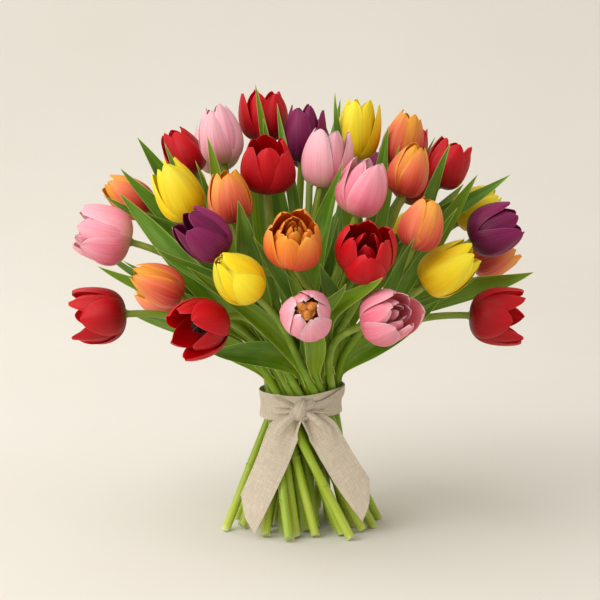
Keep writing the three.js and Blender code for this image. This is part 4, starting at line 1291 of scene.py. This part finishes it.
def band(build):
    """The ribbon round the stems, its ends lapped at the back."""
    columns, rows = 321, 53
    share = np.linspace(-1, 1, columns)
    bearings = np.sign(share) * np.abs(share) ** 1.35 * pi
    grid = np.zeros((rows, columns, 3))
    cloth = np.zeros((rows, columns))
    for j, bearing in enumerate(bearings):
        low, high = band_edges(bearing)
        for i in range(rows):
            f = i / (rows - 1)
            z = low + (high - low) * f
            x = bearing * BAND_INSIDE
            ease = 0.5 * sin(2.3 * bearing + 5 * f) * sin(pi * f)
            grid[i, j] = round_the_tie(bearing, z, 0.9 + ease + fold_relief(x, z))
            cloth[i, j] = (f - 0.5) * CLOTH_WIDTH
    along = np.broadcast_to(bearings * (BAND_INSIDE + 2), (rows, columns))
    sheet(build, grid, cloth, along, 0.2, grid - UP * TIE_HEIGHT)


def crossing_strip(build):
    """The end of the ribbon that comes over the band from the upper right into the knot."""
    columns, rows = 34, 13
    grid = np.zeros((rows, columns, 3))
    for j in range(columns):
        f = j / (columns - 1)
        bearing = 0.16 + 1.5 * f
        opened = smooth(0, 0.75, f)
        top = STRIP_HIGH + (band_edges(bearing)[1] + 0.2 - STRIP_HIGH) * opened
        bottom = STRIP_LOW + 4.5 * opened
        for i in range(rows):
            g = i / (rows - 1)
            z = bottom + (top - bottom) * g
            crown = 1.5 * sin(pi * g) * (1 - 0.6 * f) + 0.5 * cos(9 * g) * (1 - f)
            tuck = -1.9 * smooth(0.45, 0, g) - 1.5 * smooth(0.75, 1, f)
            grid[i, j] = round_the_tie(bearing, z, 2.8 + crown + tuck)
    across, along = np.meshgrid(np.linspace(0, 60, columns), np.linspace(-9, 18, rows))
    sheet(build, grid, along, across, 0.6, grid - UP * TIE_HEIGHT)


def through(route, s):
    """The values at s (0 to 1) along a route, smoothly through its stations."""
    table = np.array(route, dtype=float)
    last = len(table) - 1
    i = min(int(s * last), last - 1)
    f = s * last - i
    before, a, b, after = table[max(i - 1, 0)], table[i], table[i + 1], table[min(i + 2, last)]
    return 0.5 * (2 * a + (b - before) * f + (2 * before - 5 * a + 4 * b - after) * f * f
                  + (3 * a - before - 3 * b + after) * f**3)


def tail(build, route, side):
    """A ribbon tail: gathered at the knot, opening to its full width, cut on a slant."""
    rows, columns = 64, 41
    shares = np.linspace(0, 1, rows)
    centres, facings = [], []
    for share in shares:
        bearing, z, lift = through(route, share)
        angle = radians(bearing)
        centres.append(spoke(FRONT, RIGHT, angle) * (bundle_radius(z) + lift) + UP * z)
        facings.append(spoke(FRONT, RIGHT, angle * TAIL_FACING))
    centres = np.array(centres)
    tangents = np.gradient(centres, axis=0)
    grid = np.zeros((rows, columns, 3))
    run = np.concatenate([[0], np.cumsum(np.linalg.norm(np.diff(centres, axis=0), axis=1))])
    ridge = 0.28 if side < 0 else -0.3
    for i, share in enumerate(shares):
        along = unit(tangents[i])
        outward = square_to(facings[i], along)
        right = np.cross(along, outward)
        half = min(0.15 + 0.19 * share * (len(route) - 1), 0.5) * CLOTH_WIDTH
        half *= 1 + 0.02 * sin(7 * share + side)
        slack = (1 - smooth(0.12, 0.58, share)) * smooth(-0.06, 0.12, share)
        for j in range(columns):
            s = -1 + 2 * j / (columns - 1)
            fold = slack * (4.6 * cos(4.4 * (s - ridge)) + 1.7 * cos(9.4 * (s + ridge)))
            pinch = slack * 0.2 * sin(8.8 * (s - ridge)) * (1 - s * s)
            drape = 1.4 * sin(4.4 * share + 1.1 * s + side) * (1 - slack) - 1.4 * s * s
            drape += 0.9 * cos(3.2 * s - 2.0 * share) * (1 - slack) * (1 - share)
            slant = TAIL_SLANT * side * s * smooth(0.72, 1, share)
            slant += 2.2 * cos(2.6 * s) * smooth(0.9, 1, share)
            fray = 0.3 * vary(j * 3, 31 + side) * (i == rows - 1)
            grid[i, j] = (centres[i] + right * (s + pinch) * half + outward * (fold + drape)
                          + along * (slant + fray))
    across, along = np.meshgrid(np.linspace(-1, 1, columns) * CLOTH_WIDTH / 2, run)
    sheet(build, grid, across, along, 0.9, FRONT)
    frayed_end(build, grid, side)


def frayed_end(build, grid, side):
    """Loose threads past the cut end."""
    count = 22
    for k in range(count):
        x = (k + 0.5) / count * (grid.shape[1] - 1)
        j = min(int(x), grid.shape[1] - 2)
        start = grid[-1, j] + (grid[-1, j + 1] - grid[-1, j]) * (x - j)
        down = unit(grid[-1, j] - grid[-3, j])
        reach = 1.2 + 0.9 * vary(k, 33 + side)
        sway = vec(0.4 * vary(k, 35), -0.5 - 0.4 * vary(k, 36), 0)
        line = [start - down * 0.8, start + down * reach * 0.5, start + down * reach + sway]
        tube(build, line, (0.16, 0.14, 0.08), 5, 0, 0.4, along=np.array([0.0, 0.5, 1.0]))


def turn_of_cloth(build, path, widths, pleats, tone):
    """One turn of the knot: a strip over the points of path, domed, pleated lengthwise.
    path: across, height and distance out from the band. widths: half widths there."""
    rows, columns = 34, 15
    grid = np.zeros((rows, columns, 3))
    for i in range(rows):
        share = i / (rows - 1)
        x, z, out = through(path, share)
        ahead, behind = through(path, min(share + AHEAD, 1)), through(path, max(share - AHEAD, 0))
        along = unit(vec(ahead[0] - behind[0], behind[2] - ahead[2], ahead[1] - behind[1]))
        right = unit(np.cross(along, FRONT))
        outward = np.cross(right, along)
        half = np.interp(share, np.linspace(0, 1, len(widths)), widths)
        centre = vec(x, -BAND_INSIDE - out, z)
        for j in range(columns):
            s = -1 + 2 * j / (columns - 1)
            dome = -0.5 * half * s * s - 0.5 * half * s**6
            pleat = 0.62 * cos(pleats * s + 0.6) * (1 - s * s)
            grid[i, j] = centre + right * s * half + outward * (dome + pleat)
    across, along = np.meshgrid(np.linspace(-9, 9, columns), np.linspace(0, 45, rows))
    sheet(build, grid, across, along, tone, FRONT)


def knot(build):
    """The knot: one turn laid slantwise over the crossing, a collar behind it and the
    loop's end under it."""
    behind = [(14, 134, 1.5), (10, 132, 5), (4, 129.5, 7), (-4, 126.5, 6), (-10, 124, 1)]
    over = [(3.5, 138.2, 2), (2.6, 136, 7.6), (0.6, 130.8, 10.8), (-1.6, 124, 10.4),
            (-2.4, 119.4, 7.2), (-2.0, 117.8, 2)]
    under = [(-9, 119.8, 2), (-5, 119.0, 5), (1, 118.8, 6), (6, 119.6, 5), (10, 121, 2)]
    turn_of_cloth(build, behind, (4.8, 5.0, 5.6, 6.0, 4.6), 7.0, 0.4)
    turn_of_cloth(build, over, (3.0, 4.0, 5.4, 7.4, 8.0, 7.0), 8.5, 0.7)
    turn_of_cloth(build, under, (2.2, 2.8, 3.0, 2.8, 2.2), 4.0, 0.55)


def ribbon(linen):
    """The finished ribbon: the strip with both tails, and its knot."""
    strip, lump = Build(), Build()
    band(strip)
    crossing_strip(strip)
    tail(strip, LEFT_TAIL, -1)
    tail(strip, RIGHT_TAIL, 1)
    knot(lump)
    cloth = strip.piece("ribbon_strip", [linen])
    tied = lump.piece("ribbon_knot", [linen])
    stand_in(cloth, "ribbon")
    stand_in(tied, "ribbon")


# ---- stage ----
PHOTO_SIZE = 600
FLOOR_REACH, WALL_AT, WALL_TOP, SWEEP, SWEEP_STEPS = 6.0, 3.2, 4.0, 1.6, 24     # metres
LAMP_AIM = Vector((0, 0, 0.25))
LAMPS = (                        # name, place, size in metres, watts
    ("key", (-1.5, -1.5, 1.6), 1.6, 24),
    ("rim", (-1.1, 1.3, 1.3), 1.2, 5),
)


def studio_floor():
    """A pale floor that sweeps up into a wall."""
    start = WALL_AT - SWEEP
    profile = [(-FLOOR_REACH, 0.0), (start, 0.0)]
    profile += [(start + SWEEP * sin(a), SWEEP - SWEEP * cos(a))
                for a in np.linspace(0, pi / 2, SWEEP_STEPS)[1:]]
    profile.append((WALL_AT, WALL_TOP))
    points = [(x, y, z) for y, z in profile for x in (-FLOOR_REACH, FLOOR_REACH)]
    faces = [(2 * k, 2 * k + 1, 2 * k + 3, 2 * k + 2) for k in range(len(profile) - 1)]
    mesh = bpy.data.meshes.new("studio_floor")
    mesh.from_pydata(points, [], faces)
    mesh.materials.append(backdrop_material())
    mesh.polygons.foreach_set("use_smooth", [True] * len(faces))
    placed("studio_floor", mesh)


def sky():
    """Even light from all round."""
    world = bpy.data.worlds.new("studio")
    world.use_nodes = True
    background = world.node_tree.nodes["Background"]
    background.inputs["Color"].default_value = colour("fcf6ec")
    background.inputs["Strength"].default_value = 0.65
    bpy.context.scene.world = world


def lights():
    """A broad sun from the upper left in front, and two soft lamps on the left."""
    sun = bpy.data.lights.new("window", "SUN")
    sun.angle = radians(75)
    sun.energy = 1.25
    sun.color = (1.0, 0.985, 0.955)
    placed("window", sun, rotation=aimed((0.52, 0.36, -0.77)))
    for name, place, size, power in LAMPS:
        lamp = bpy.data.lights.new(name, "AREA")
        lamp.size = size
        lamp.energy = power
        lamp.color = (1.0, 0.985, 0.96)
        placed(name, lamp, place, aimed(LAMP_AIM - Vector(place)))


def camera():
    """The photo's view: VIEW holds its focal length and middle in pixels of the photo."""
    lens = bpy.data.cameras.new("camera")
    lens.sensor_width = 36
    lens.lens = lens.sensor_width * VIEW["focal"] / PHOTO_SIZE
    lens.shift_x = (PHOTO_SIZE / 2 - VIEW["axis_u"]) / PHOTO_SIZE
    lens.clip_end = 50
    pitch = radians(VIEW["pitch"])
    away, up = -cos(pitch) * VIEW["distance"], sin(pitch) * VIEW["distance"]
    place = (0, away * MM, (VIEW["aim"] + up) * MM)
    made = placed("camera", lens, place, (pi / 2 - pitch, 0, 0))
    bpy.context.scene.camera = made


# ---- putting the bunch together ----
def grow_greenery(tulips, materials):
    """Stems and leaves, body by body, each as its solid was grown."""
    first = first_slots(tulips)
    bodies = stem_bodies(first)
    slots = settle_slots(first, bodies)
    solids = [node_points(f"leafy_stems_{k + 1}") for k in range(len(bodies))]
    builds = [Build() for _ in bodies]
    lines = [None] * len(tulips)
    for k, members in enumerate(bodies):
        for i in members:
            lines[i] = recognised_line(tulips[i], slots[i], solids[k])
            stem(builds[k], lines[i], i)
    for leaf in leaf_list():
        _, way, home = recognised_way(leaf, lines, bodies, solids)
        if way is None:
            raise ValueError(f"leaf {leaf['index']} isn't on any solid")
        leaf_blade(builds[home], leaf, way)
    for k, build in enumerate(builds):
        piece = build.piece(f"stems_and_leaves_{k + 1}", [materials["leaf"], materials["stem"]])
        stand_in(piece, f"leafy_stems_{k + 1}")


def main():
    bpy.context.scene.view_settings.view_transform = "Standard"
    camera()
    materials = {name: petal_material(name, look) for name, look in VARIETIES.items()}
    materials["leaf"] = leaf_material()
    materials["stem"] = stem_material()
    materials["anther_gold"] = pollen_material("anther_gold", "9c4e14", "de9038")
    # Dark anthers; the same dark colour on the pistil is painted shade in the throat.
    materials["dark_anthers_shaded_pistil"] = pollen_material("dark_anthers_shaded_pistil", "0c0608", "2c1a20")
    tulips = tulip_list()
    for tulip in tulips:
        bloom(tulip, materials)
    grow_greenery(tulips, materials)
    ribbon(linen_material())
    studio_floor()
    sky()
    lights()


main()
